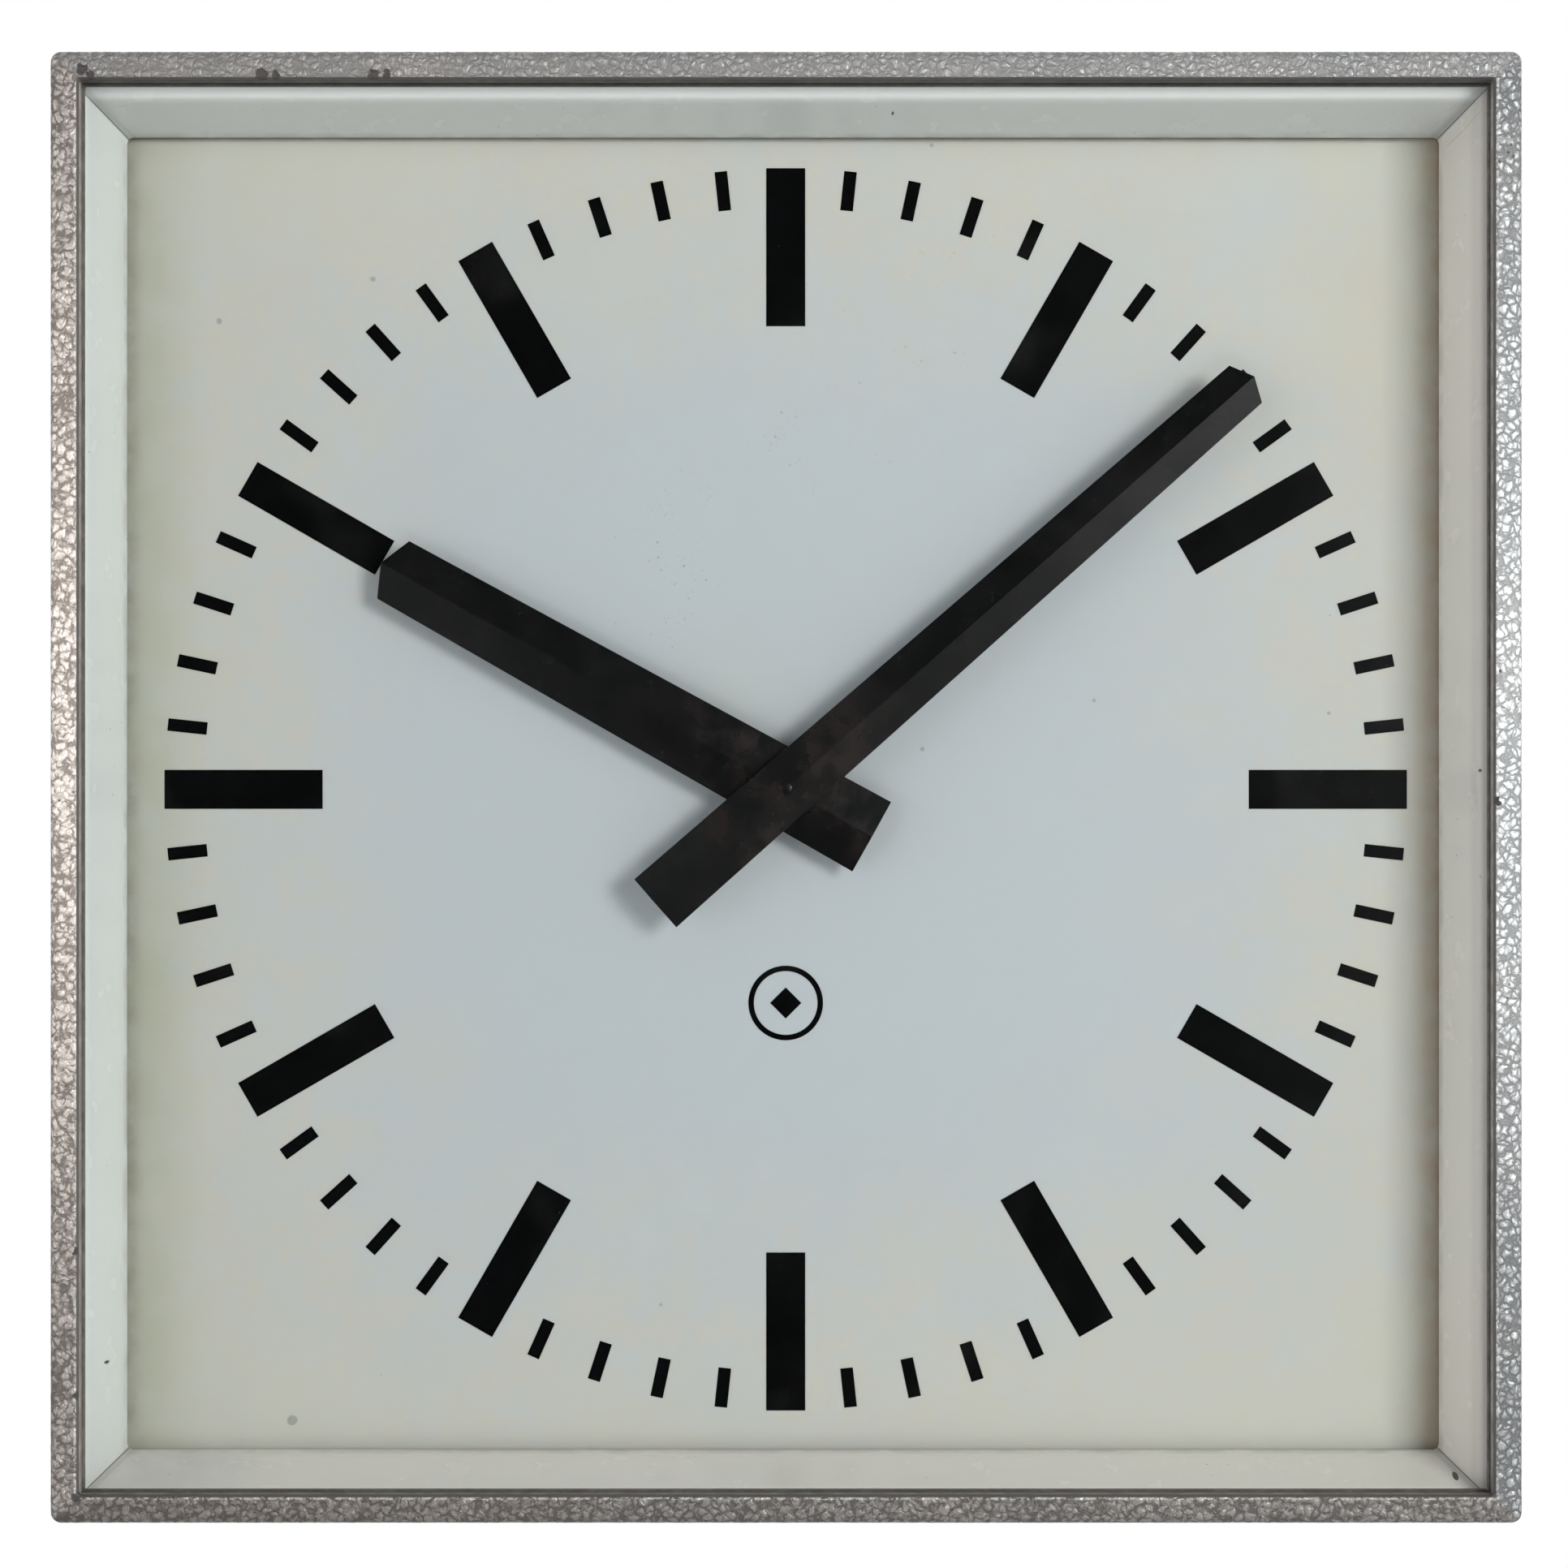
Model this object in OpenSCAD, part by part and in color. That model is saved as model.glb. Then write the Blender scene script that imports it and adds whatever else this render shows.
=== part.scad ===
// Square wall slave clock, an electric secondary clock in a sheet-metal case.
// The dial faces -Y, the wall is the plane y = 0, +Z is up.
// The origin is on the axis of the hands, in the plane of the wall.

/* [Case] */
// Outer width and height of the square case, mm
case_w = 420; // [412:1:440]
// Depth from the wall to the front face, mm
case_d = 80; // [78:0.5:90]
// Width of the front lip round the glass, mm
lip_w = 8; // [7:0.1:8.2]
// Sheet thickness of the front frame, mm
frame_t = 1.5; // [1.2:0.1:1.5]
// Glass thickness, mm
glass_t = 3; // [2:0.5:4]
// Distance between the two upper fixing points, mm
key_gap = 240; // [160:5:280]

/* [Surround] */
// Clear opening of the white surround at its inner edge, mm
surround_in = 385.6; // [380:0.2:387]
// Thickness of the surround's sheet, mm
surround_t = 1; // [0.8:0.1:1.2]
// Sideways seat of the surround in the case, mm
surround_x = -0.8; // [-1:0.1:1]
// Upward seat of the surround in the case, mm
surround_y = -1.3; // [-1.3:0.1:1.3]

/* [Dial] */
// Outer radius of the hour and minute marks, mm
mark_r = 183.2; // [170:0.2:187]
// Length of an hour baton, mm
hour_mark_l = 46.6; // [30:0.2:60]
// Width of an hour baton, mm
hour_mark_w = 11.5; // [6:0.1:14]
// Length of a minute tick, mm
min_mark_l = 11.6; // [8:0.2:20]
// Width of a minute tick, mm
min_mark_w = 3.7; // [2:0.1:5]

/* [Hands] */
// Reach of the minute hand from the axis, mm
min_hand_l = 181.1; // [150:0.1:185]
// Reach of the hour hand from the axis, mm
hour_hand_l = 135.4; // [100:0.1:150]
// Rise of a hand's folded centre line for each mm of half width
fold = 0.2; // [0.14:0.01:0.22]
// Minute hand at rest, degrees clockwise from twelve
min_angle = 48.67; // [0:0.01:360]
// Hour hand at rest, degrees clockwise from twelve
hour_angle = 299.15; // [0:0.01:360]

/* [Movement] */
// Coil turns build-up radius, mm
coil_r = 8; // [6.5:0.1:8.5]
// Radius of the rotor magnet, mm
rotor_r = 9; // [7:0.1:9.4]

/* [Hidden] */

$fn = 96;
e = 0.01;
half = case_w / 2;
in_half = half - frame_t;              // inside of the front frame's side walls
tray_half = in_half - 0.3;             // outside of the back case
tray_t = 1.2;
tray_d = 46;                           // wall plane to the top of the back case's flange
dial_z = tray_d + 1.5;                 // front face of the dial plate
lip_z = case_d - 3;                    // back of the front lip
lip_half = half - lip_w;
glass_z = lip_z - 2 - glass_t;         // back face of the glass
glass_half = half - 5;
seal_z = glass_z - 2;                  // back face of the seal
seal_half = half - 8.3;                // clear opening of the seal
seal_out = half - 3.5;
sur_top = seal_z;                      // front face of the surround's flange
sur_half_top = half - 9.5;
sur_half_in = surround_in / 2;
sur_bot = dial_z + 3;
sur_lean = (sur_half_top - sur_half_in) / (sur_top - sur_bot);  // sideways run of the slope for each mm of depth
stud_zc = sur_top - 10;                // height of the clip studs
dial_half = half - 5;
shelf = 14;                            // width of the back case's inward flange
screw_at = 0.477 * (case_w - 22);      // dial screws, from the centre
train_y = -25.2;                       // intermediate arbor
rotor_y = -43.2;                       // rotor arbor
coil_y = -72;                          // coil axis
stud_xy = 18 * sin(45);                // motion-work stud, at 45 degrees
plate_b = 9;                           // back of the movement's back plate
plate_f = 32;                          // back of the movement's front plate
hour_z = 54.4;                         // lower edges of the hour hand
min_z = 59.9;                          // lower edges of the minute hand

// ---------- shared shapes, drawn with z towards the viewer ----------

module face() { rotate([90, 0, 0]) children(); }

module rsq(w, r) {
    square([w - 2 * r, w], center = true);
    square([w, w - 2 * r], center = true);
    for (x = [-1, 1], y = [-1, 1])
        translate([x * (w / 2 - r), y * (w / 2 - r)]) circle(r, $fn = 48);
}

module slab(w, r, z0, z1) { translate([0, 0, z0]) linear_extrude(z1 - z0) rsq(w, r); }

module sq(h, z0, z1) {
    translate([-h, -h, z0]) cube([2 * h, 2 * h, z1 - z0]);
}

// square frustum with half widths a at z0 and b at z1
module frustum(a, b, z0, z1) {
    translate([0, 0, z0]) rotate([0, 0, 45])
        cylinder(h = z1 - z0, r1 = a * sqrt(2), r2 = b * sqrt(2), $fn = 4);
}

module tube(ro, ri, z0, z1) {
    difference() {
        translate([0, 0, z0]) cylinder(h = z1 - z0, r = ro);
        translate([0, 0, z0 - 1]) cylinder(h = z1 - z0 + 2, r = ri);
    }
}

module rod(r, z0, z1) { translate([0, 0, z0]) cylinder(h = z1 - z0, r = r); }

module hexa(af, z0, z1) { translate([0, 0, z0]) cylinder(h = z1 - z0, r = af / sqrt(3), $fn = 6); }

// four sides, two places a side
module around(d) {
    for (s = [0 : 3], p = [-1, 1]) rotate([0, 0, 90 * s]) translate([0, p * d, 0]) children();
}

// pan-head screw with its head's seat at z = 0 and its shank going down
module pan(r, head_r, head_h, len, slot = true) {
    difference() {
        union() {
            rod(r, -len, 0);
            rod(head_r, 0, head_h * 0.55);
            translate([0, 0, head_h * 0.55])
                cylinder(h = head_h * 0.45, r1 = head_r, r2 = head_r * 0.72);
        }
        if (slot) translate([-head_r - 1, -r * 0.22, head_h * 0.5])
            cube([2 * head_r + 2, r * 0.44, head_h]);
    }
}

// ---------- gear teeth ----------

function inv(a) = tan(a) * 180 / PI - a;
function tooth_half(z, m, s, thin, r) =
    let (rp = m * z / 2, rb = rp * cos(20), c = min(1, rb / r))
    90 / z + 2 * s * tan(20) / z * 180 / PI - thin / 2 / rp * 180 / PI + inv(20) - inv(acos(c));
function gear_pts(z, m, s, thin, n) =
    let (rp = m * z / 2,
         rb = rp * cos(20),
         ra = rp + (s + 0.9) * m,
         rf = rp + (s - 1.2) * m,
         r0 = max(rb, rf),
         under = rf < rb - 0.02,
         up = [for (i = [0 : n - 1]) r0 + (ra - r0) * i / (n - 1)])
    [for (k = [0 : z - 1])
        each concat(
            under ? [rf * [cos(k * 360 / z - tooth_half(z, m, s, thin, r0)),
                           sin(k * 360 / z - tooth_half(z, m, s, thin, r0))]] : [],
            [for (i = [0 : n - 1]) let (a = k * 360 / z - tooth_half(z, m, s, thin, up[i]))
                up[i] * [cos(a), sin(a)]],
            [for (i = [n - 1 : -1 : 0]) let (a = k * 360 / z + tooth_half(z, m, s, thin, up[i]))
                up[i] * [cos(a), sin(a)]],
            under ? [rf * [cos(k * 360 / z + tooth_half(z, m, s, thin, r0)),
                           sin(k * 360 / z + tooth_half(z, m, s, thin, r0))]] : []
        )];

module gear(z, m, s, z0, z1, turn = 0, n = 3) {
    translate([0, 0, z0]) rotate([0, 0, turn]) linear_extrude(z1 - z0)
        polygon(gear_pts(z, m, s, 0.06, n));
}

// ---------- case ----------

module front_frame() color([0.62, 0.63, 0.63]) face() {
    difference() {
        hull() {
            for (x = [-1, 1], y = [-1, 1]) translate([x * (half - 3), y * (half - 3), 0]) {
                translate([0, 0, 38]) cylinder(h = case_d - 41, r = 3, $fn = 32);
                translate([0, 0, case_d - 3]) sphere(r = 3, $fn = 32);
            }
            sq(half - 3, case_d - 3, case_d);
        }
        sq(in_half, 30, lip_z);
        sq(lip_half, lip_z - 1, case_d + 1);
        frustum(lip_half - e, lip_half + 1.2 - e, case_d - 1.2, case_d + e);
        for (s = [0, 2], p = [-1, 1]) rotate([0, 0, 90 * s]) translate([0, p * 140, 42])
            rotate([0, 90, 0]) {
                translate([0, 0, half - frame_t - e]) cylinder(h = frame_t + 0.03, r1 = 2.2, r2 = 2.2 + frame_t);
                translate([0, 0, half - 5]) cylinder(h = 5, r = 2.2);
            }
    }
}

module glass() color([0.8, 0.88, 0.88, 0.35]) face() sq(glass_half, glass_z, glass_z + glass_t);

module glass_seal() color([0.12, 0.12, 0.12]) face() {
    difference() {
        sq(seal_out, seal_z, lip_z);
        sq(seal_half, seal_z - 1, lip_z + 1);
        sq(glass_half, glass_z, glass_z + glass_t);
        frustum(seal_half - e, seal_half + 0.3, lip_z - 0.3, lip_z + e);
    }
}

module reflector_frame() color([0.9, 0.9, 0.88]) face() translate([surround_x, surround_y, 0]) {
    difference() {
        union() {
            frustum(sur_half_in + surround_t * 1.08, sur_half_top + surround_t * 1.08, sur_bot, sur_top - surround_t);
            sq(half - 4.3, sur_top - surround_t - 0.2, sur_top);
        }
        frustum(sur_half_in - sur_lean, sur_half_top + sur_lean, sur_bot - 1, sur_top + 1);
    }
}

module clip_studs() color([0.75, 0.75, 0.76]) face()
    around(110) translate([0, 0, stud_zc]) rotate([0, 90, 0]) rod(2, in_half - 7, in_half);

module retaining_clips() color([0.7, 0.7, 0.66]) face()
    around(110) difference() {
        union() {
            translate([in_half - 1.2, -8, stud_zc - 6]) cube([1.2, 16, 6 + 10 - surround_t - 0.2]);
            translate([in_half - 5.2, -8, sur_top - surround_t - 0.2 - 1.2]) cube([5.2, 16, 1.2]);
        }
        translate([0, 0, stud_zc]) rotate([0, 90, 0]) rod(2.2, in_half - 4, in_half + 1);
    }

module clip_nuts() color([0.78, 0.76, 0.62]) face()
    around(110) translate([0, 0, stud_zc]) rotate([0, 90, 0]) difference() {
        hexa(7, in_half - 4.4, in_half - 1.2);
        rod(2.01, in_half - 6, in_half);
    }

module key_hole() {
    rod(5.5, -1, 3);
    translate([0, 6, -1]) linear_extrude(4) {
        translate([-2.6, -6]) square([5.2, 11]);
        translate([0, 5]) circle(2.6, $fn = 48);
    }
}

module back_case() color([0.55, 0.56, 0.56]) face() {
    difference() {
        slab(2 * tray_half, 2, 0, tray_d);
        slab(2 * (tray_half - tray_t), 0.8, tray_t, tray_d - tray_t);
        sq(tray_half - shelf, tray_d - tray_t - 1, tray_d + 1);
        for (x = [-1, 1]) translate([x * key_gap / 2, 150, 0]) key_hole();
        for (x = [-1, 1]) translate([x * key_gap / 2, -150, 0]) rod(2.75, -1, 3);
        translate([0, -118, 0]) rod(7, -1, 3);
        for (s = [0, 2], p = [-1, 1]) rotate([0, 0, 90 * s]) translate([0, p * 140, 42])
            rotate([0, 90, 0]) rod(2.2, tray_half - 3, tray_half + 1);
        around(100) translate([screw_at + 9, 0, 0]) rod(1.7, tray_d - 3, tray_d + 1);
        translate([-60, -118, 0]) rod(2.03, -1, 3);
        for (x = [-1, 1]) translate([62 + x * 5.5, -110.6, 0]) rod(1.27, -1, 3);
    }
    // pressed stiffening ribs on the inside of the back panel
    for (x = [-1, 1]) translate([x * 160, -110, tray_t - e]) cube([6, 220, 1.6]);
}

module frame_screws() color([0.72, 0.72, 0.72]) face()
    for (s = [0, 2], p = [-1, 1]) rotate([0, 0, 90 * s]) translate([0, p * 140, 42])
        rotate([0, 90, 0]) difference() {
            union() {
                translate([0, 0, half - frame_t + 0.03]) cylinder(h = frame_t - 0.03, r1 = 2.17, r2 = 2.14 + frame_t);
                rod(2, half - 9, half - frame_t + 0.04);
            }
            translate([-0.5, -5, half - 0.9]) cube([1, 10, 3]);
        }

module frame_nuts() color([0.7, 0.7, 0.7]) face()
    for (s = [0, 2], p = [-1, 1]) rotate([0, 0, 90 * s]) translate([0, p * 140, 42])
        rotate([0, 90, 0]) difference() {
            rotate([0, 0, 30]) hexa(5.6, tray_half - tray_t - 3, tray_half - tray_t);
            rod(2.01, tray_half - 6, tray_half);
        }

// ---------- dial ----------

module dial_plate() color([0.83, 0.86, 0.86]) face()
    difference() {
        sq(dial_half, tray_d, dial_z);
        rod(2.75, tray_d - 1, dial_z + 1);
        around(100) translate([screw_at + 9, 0, 0]) rod(1.8, tray_d - 1, dial_z + 1);
    }

module dial_hour_marks() color([0.03, 0.03, 0.03]) face()
    for (k = [0 : 11]) rotate([0, 0, 30 * k])
        translate([-hour_mark_w / 2, mark_r - hour_mark_l, dial_z]) cube([hour_mark_w, hour_mark_l, 0.15]);

module dial_minute_marks() color([0.03, 0.03, 0.03]) face()
    for (k = [0 : 59]) if (k % 5 != 0) rotate([0, 0, 6 * k])
        translate([-min_mark_w / 2, mark_r - min_mark_l, dial_z]) cube([min_mark_w, min_mark_l, 0.15]);

module dial_emblem() color([0.05, 0.05, 0.05]) face() translate([0, -63, 0]) {
    tube(11, 9.4, dial_z, dial_z + 0.12);
    translate([0, 0, dial_z]) cylinder(h = 0.12, r = 4.6, $fn = 4);
}

module dial_screws() color([0.75, 0.74, 0.7]) face()
    around(100) translate([screw_at + 9, 0, dial_z]) pan(1.5, 2.75, 1.9, 6);

module dial_nuts() color([0.7, 0.7, 0.68]) face()
    around(100) translate([screw_at + 9, 0, 0]) difference() {
        hexa(5.5, tray_d - tray_t - 2.4, tray_d - tray_t);
        rod(1.51, tray_d - 6, tray_d);
    }

// ---------- wiring ----------

module cable_grommet() color([0.1, 0.1, 0.1]) face() translate([0, -118, 0])
    difference() {
        union() {
            rod(6.95, 0, tray_t + 1);
            rod(9.5, tray_t, tray_t + 4.8);
        }
        rod(4.5, -1, 8);
    }

// stud, washer and nut
module earth_screw() color([0.8, 0.68, 0.35]) face() translate([-60, -118, 0]) {
    rod(2, 0, 12);
    tube(4.6, 2.3, tray_t, tray_t + 0.8);
    difference() {
        hexa(7, tray_t + 0.82, tray_t + 4);
        rod(2.01, 0, 9);
    }
}

module terminal_block() color([0.75, 0.72, 0.62]) face() translate([62, -118, 0])
    difference() {
        union() {
            translate([-18, -9.8, tray_t]) cube([36, 19.6, 5]);
            translate([-18, -5, tray_t]) cube([36, 10, 12]);
        }
        for (x = [-11, 0, 11]) translate([x, 0, 0]) {
            rod(1.8, 6, 15);
            translate([0, -10, 7.2]) rotate([-90, 0, 0]) cylinder(h = 20, r = 1.3);
        }
        for (x = [-1, 1]) translate([x * 5.5, 7.4, 0]) rod(1.3, 0, 8);
    }

module terminal_screws() color([0.8, 0.7, 0.4]) face() translate([62, -118, 0]) {
    for (x = [-1, 1]) translate([x * 5.5, 7.4, tray_t + 5]) pan(1.25, 2.1, 1.4, 6);
    for (x = [-11, 0, 11]) translate([x, 0, 9.6]) difference() {
        rod(1.75, -1.0, 2.2);
        translate([-3, -0.3, 1.4]) cube([6, 0.6, 2]);
    }
}

// two leads along the back panel from the terminal block to the coil
module lead(pts, r) {
    for (i = [0 : len(pts) - 2]) let (a = pts[i], d = pts[i + 1] - pts[i], l = norm(d))
        translate(a) rotate([0, acos(d[2] / l), atan2(d[1], d[0])]) cylinder(h = l, r = r, $fn = 48);
    for (i = [1 : len(pts) - 2]) translate(pts[i]) sphere(r = 1.1 * r, $fn = 48);
}
module coil_leads() color([0.55, 0.12, 0.1]) face() {
    lead([[51, -113, 7.2], [51, -105, 7.2], [51, -101, 2.2], [-8.6, -101, 2.2], [-8.6, -86, 2.2], [-8.6, -77.7, 10.3]], 0.9);
    lead([[62, -113, 7.2], [62, -101, 7.2], [62, -96, 2.2], [8.6, -96, 2.2], [8.6, -86, 2.2], [8.6, -77.7, 10.3]], 0.9);
}

// ---------- movement: frame ----------

module at_pillars() for (x = [-1, 1], y = [25, -52]) translate([x * 26, y, 0]) children();
module at_feet() for (x = [-1, 1], y = [20, -48]) translate([x * 35, y, 0]) children();

module movement_standoffs() color([0.78, 0.77, 0.7]) face()
    at_feet() difference() { hexa(6, tray_t, plate_b); rod(1.51, 3, plate_b + 1); }

module movement_screws() color([0.76, 0.75, 0.7]) face()
    at_feet() translate([0, 0, plate_b + 1.5]) pan(1.5, 2.75, 1.9, 6);

module plate_2d(w, y0, y1) {
    difference() {
        translate([-w, y0]) square([2 * w, y1 - y0]);
        for (x = [-1, 1]) {
            translate([x * w, y1]) rotate([0, 0, 45]) square([6, 6], center = true);
            translate([x * w, y0]) rotate([0, 0, 45]) square([6, 6], center = true);
        }
    }
}

module movement_back_plate() color([0.82, 0.74, 0.5]) face()
    difference() {
        translate([0, 0, plate_b]) linear_extrude(1.5) plate_2d(40, -58, 31);
        at_pillars() rod(1.3, 5, 15);
        at_feet() rod(1.7, 5, 15);
        rod(3.5, 5, 15);
        translate([0, train_y, 0]) rod(2.5, 5, 15);
        translate([0, rotor_y, 0]) rod(2.5, 5, 15);
        for (x = [-1, 1]) translate([x * 16, -50, 0]) rod(1.26, 5, 15);
    }

module movement_front_plate() color([0.82, 0.74, 0.5]) face()
    difference() {
        translate([0, 0, plate_f]) linear_extrude(1.5) plate_2d(31, -58, 31);
        at_pillars() rod(1.3, 28, 36);
        rod(3.5, 28, 36);
        translate([0, train_y, 0]) rod(2.5, 28, 36);
        translate([0, rotor_y, 0]) rod(2.5, 28, 36);
        translate([stud_xy, stud_xy, 0]) rod(2, 28, 36);
    }

module movement_pillars() color([0.85, 0.76, 0.48]) face()
    at_pillars() difference() {
        rod(2.6, plate_b + 1.5, plate_f);
        rod(1.26, plate_b + 1, plate_b + 9);
        rod(1.26, plate_f - 8, plate_f + 1);
    }

module plate_screws() color([0.45, 0.47, 0.55]) face() at_pillars() {
    translate([0, 0, plate_f + 1.5]) pan(1.25, 2.4, 1.6, 7);
    translate([0, 0, plate_b]) rotate([180, 0, 0]) pan(1.25, 2.4, 1.6, 7);
}

module bush(ro, ri, zp) {
    difference() {
        union() { rod(ro, zp, zp + 1.5); rod(ro + 0.8, zp - 0.8, zp); }
        rod(ri, zp - 2, zp + 4);
    }
}
module arbor_bushes() color([0.8, 0.62, 0.35]) face() {
    bush(3.5, 1.54, plate_b);
    translate([0, train_y, 0]) bush(2.5, 1.04, plate_b);
    translate([0, rotor_y, 0]) bush(2.5, 1.04, plate_b);
    translate([0, 0, plate_f]) difference() {
        union() { rod(3.5, 0, 2.2); rod(4.3, -0.8, 0); }
        rod(1.54, -2, 4);
    }
    translate([0, train_y, 0]) bush(2.5, 1.04, plate_f);
    translate([0, rotor_y, 0]) bush(2.5, 1.04, plate_f);
}

// ---------- movement: coil and stator ----------

module coil_core() color([0.42, 0.43, 0.45]) face() translate([0, coil_y, 0])
    difference() {
        translate([-20, -3, 13]) cube([40, 6, 6]);
        for (x = [-20.5, 13]) translate([x, -4, 12]) cube([7.5, 8, 4]);
        for (x = [-1, 1]) translate([x * 16.5, 0, 0]) rod(1.35, 10, 25);
    }

module coil_bobbin() color([0.78, 0.7, 0.5]) face() translate([0, coil_y, 16]) rotate([0, 90, 0])
    difference() {
        union() {
            rod(5.4, -11.8, 11.8);
            for (x = [-11.8, 10.4]) rod(9.6, x, x + 1.4);
        }
        translate([-3.1, -3.1, -13]) cube([6.2, 6.2, 26]);
    }

module coil_winding() color([0.66, 0.34, 0.14]) face() translate([0, coil_y, 16]) rotate([0, 90, 0])
    tube(coil_r, 5.4, -10.4, 10.4);

// pole pieces: half rings round the rotor, with legs down to the core
module stator_poles() color([0.45, 0.46, 0.48]) face()
    for (s = [-1, 1]) difference() {
        union() {
            translate([0, rotor_y, 0]) rod(14.4, 13, 19);
            translate([s * 16.5 - 3.5, coil_y - 4, 13]) cube([7, rotor_y - coil_y + 8, 6]);
        }
        translate([0, rotor_y, 0]) rod(9.8, 12, 20);
        translate([s > 0 ? -20 : -1.5, rotor_y - 16, 12]) cube([21.5, 32, 8]);
        translate([s * 16.5 - 4, coil_y - 4.5, 16]) cube([8, 8.5, 4]);
        translate([s * 16.5, coil_y, 0]) rod(1.25, 10, 25);
        translate([s * 16, -50, 0]) rod(1.35, 10, 25);
    }

module stator_spacers() color([0.8, 0.72, 0.48]) face()
    for (s = [-1, 1]) translate([s * 16, -50, 0]) tube(2.5, 1.35, plate_b + 1.5, 13);

module stator_screws() color([0.7, 0.7, 0.68]) face() for (s = [-1, 1]) {
    translate([s * 16, -50, 19]) pan(1.25, 2.3, 1.6, 9.9);
    translate([s * 16.5, coil_y, 19]) pan(1.24, 2.3, 1.6, 6);
}

// ---------- movement: rotor and train ----------

module rotor_arbor() color([0.7, 0.71, 0.74]) face() translate([0, rotor_y, 0]) {
    rod(1, plate_b - 0.6, plate_f + 1.3);
    rod(1.6, plate_b + 1.9, plate_f - 1.2);
}

module rotor_magnet() color([0.2, 0.2, 0.22]) face() translate([0, rotor_y, 0])
    difference() { tube(rotor_r, 1.61, 12, 20); for (x = [-1, 1]) translate([x * (rotor_r + 0.6), 0, 0]) rod(1.2, 11, 21); }

module rotor_pinion() color([0.82, 0.7, 0.4]) face() translate([0, rotor_y, 0])
    difference() { gear(12, 0.5, 0.35, 22, 26, 75, 4); rod(1.61, 21, 27); }

module intermediate_arbor() color([0.7, 0.71, 0.74]) face() translate([0, train_y, 0]) {
    rod(1, plate_b - 0.6, plate_f + 1.3);
    rod(1.6, plate_b + 1.9, plate_f - 1.2);
}

module intermediate_wheel() color([0.82, 0.7, 0.4]) face() translate([0, train_y, 0])
    difference() {
        union() { gear(60, 0.5, -0.35, 23, 24.6); rod(3.4, 21.6, 24.6); }
        rod(1.61, 20, 28);
        for (a = [0 : 4]) rotate([0, 0, 72 * a]) translate([8.6, 0, 0]) rod(3, 20, 28);
    }

module intermediate_pinion() color([0.82, 0.7, 0.4]) face() translate([0, train_y, 0])
    difference() { gear(12, 0.6, 0.35, 26.4, 30.4, 75, 4); rod(1.61, 25, 32); }

module centre_arbor() color([0.7, 0.71, 0.74]) face() {
    rod(1.5, plate_b - 0.6, min_z + 1.4);
    rod(2, plate_b + 1.9, plate_f - 1.2);
}

module centre_wheel() color([0.82, 0.7, 0.4]) face()
    difference() {
        union() { gear(72, 0.6, -0.35, 27.5, 29.3); rod(4.2, 25.4, 29.3); }
        rod(2.01, 24, 31);
        for (a = [0 : 4]) rotate([0, 0, 72 * a]) translate([12, 0, 0]) rod(4.6, 24, 31);
    }

// ---------- motion work and hands ----------

module cannon_pinion() color([0.82, 0.7, 0.4]) face()
    difference() {
        union() { gear(12, 0.75, 0.35, 35, 38, 0, 4); rod(2, 35, min_z + 0.2); }
        rod(1.51, 34, min_z + 2);
    }

module motion_stud() color([0.7, 0.71, 0.74]) face() translate([stud_xy, stud_xy, 0])
    difference() {
        union() { rod(1.99, plate_f, plate_f + 1.5); rod(3, plate_f + 1.5, 34.7); rod(1.5, plate_f, 43.6); }
        tube(3, 1.1, 42.5, 43.1);
    }

module stud_clip() color([0.5, 0.5, 0.52]) face() translate([stud_xy, stud_xy, 0])
    difference() { rod(2.6, 42.52, 43.08); rod(1.11, 40, 45); translate([0, -0.9, 40]) cube([4, 1.8, 5]); }

module minute_wheel() color([0.82, 0.7, 0.4]) face() translate([stud_xy, stud_xy, 0])
    difference() {
        union() {
            gear(36, 0.75, -0.35, 35, 37, 5);
            rod(2.9, 34.9, 39);
            gear(12, 0.6, 0.35, 38.6, 42.2, 0, 4);
        }
        rod(1.55, 33, 44);
        for (a = [0 : 3]) rotate([0, 0, 90 * a]) translate([7.6, 0, 0]) rod(2.8, 33, 38);
    }

module hour_wheel() color([0.82, 0.7, 0.4]) face()
    difference() {
        union() { gear(48, 0.6, -0.35, 39.2, 41.2); rod(2.45, 39.2, hour_z + 1.5); }
        rod(2.03, 38, hour_z + 4);
        for (a = [0 : 4]) rotate([0, 0, 72 * a + 36]) translate([9, 0, 0]) rod(2.8, 38, 43);
    }

module hour_collet() color([0.12, 0.12, 0.12]) face()
    difference() {
        union() { rod(7, 50.4, hour_z + 0.85); rod(5.5, 50.4, hour_z + 3.5); }
        rod(2.46, 50, hour_z + 1.5);
        rod(2.3, 50, hour_z + 6);
    }

module minute_collet() color([0.12, 0.12, 0.12]) face()
    difference() {
        union() { rod(5.6, hour_z + 4.3, min_z + 0.6); rod(1.75, hour_z + 4.3, min_z + 2.75); }
        rod(2.01, hour_z, min_z + 0.2);
        rod(1.51, hour_z, min_z + 1.4);
    }

// folded sheet hand pointing up: tail, shoulder, tip, half widths at tail and shoulder
module hand(tail, shoulder, tip, wt, ws, hole, z0, t) {
    difference() {
        intersection() {
            translate([0, 0, z0 - 1]) linear_extrude(8)
                polygon([[-wt, -tail], [wt, -tail], [ws, shoulder], [0, tip], [-ws, shoulder]]);
            translate([0, tip + 1, z0]) rotate([90, 0, 0]) linear_extrude(tip + tail + 2)
                polygon([[-wt - 1, -fold], [0, wt * fold], [wt + 1, -fold],
                         [wt + 1, t - fold], [0, t + wt * fold], [-wt - 1, t - fold]]);
        }
        rod(hole, z0 - 2, z0 + 9);
    }
}

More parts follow.
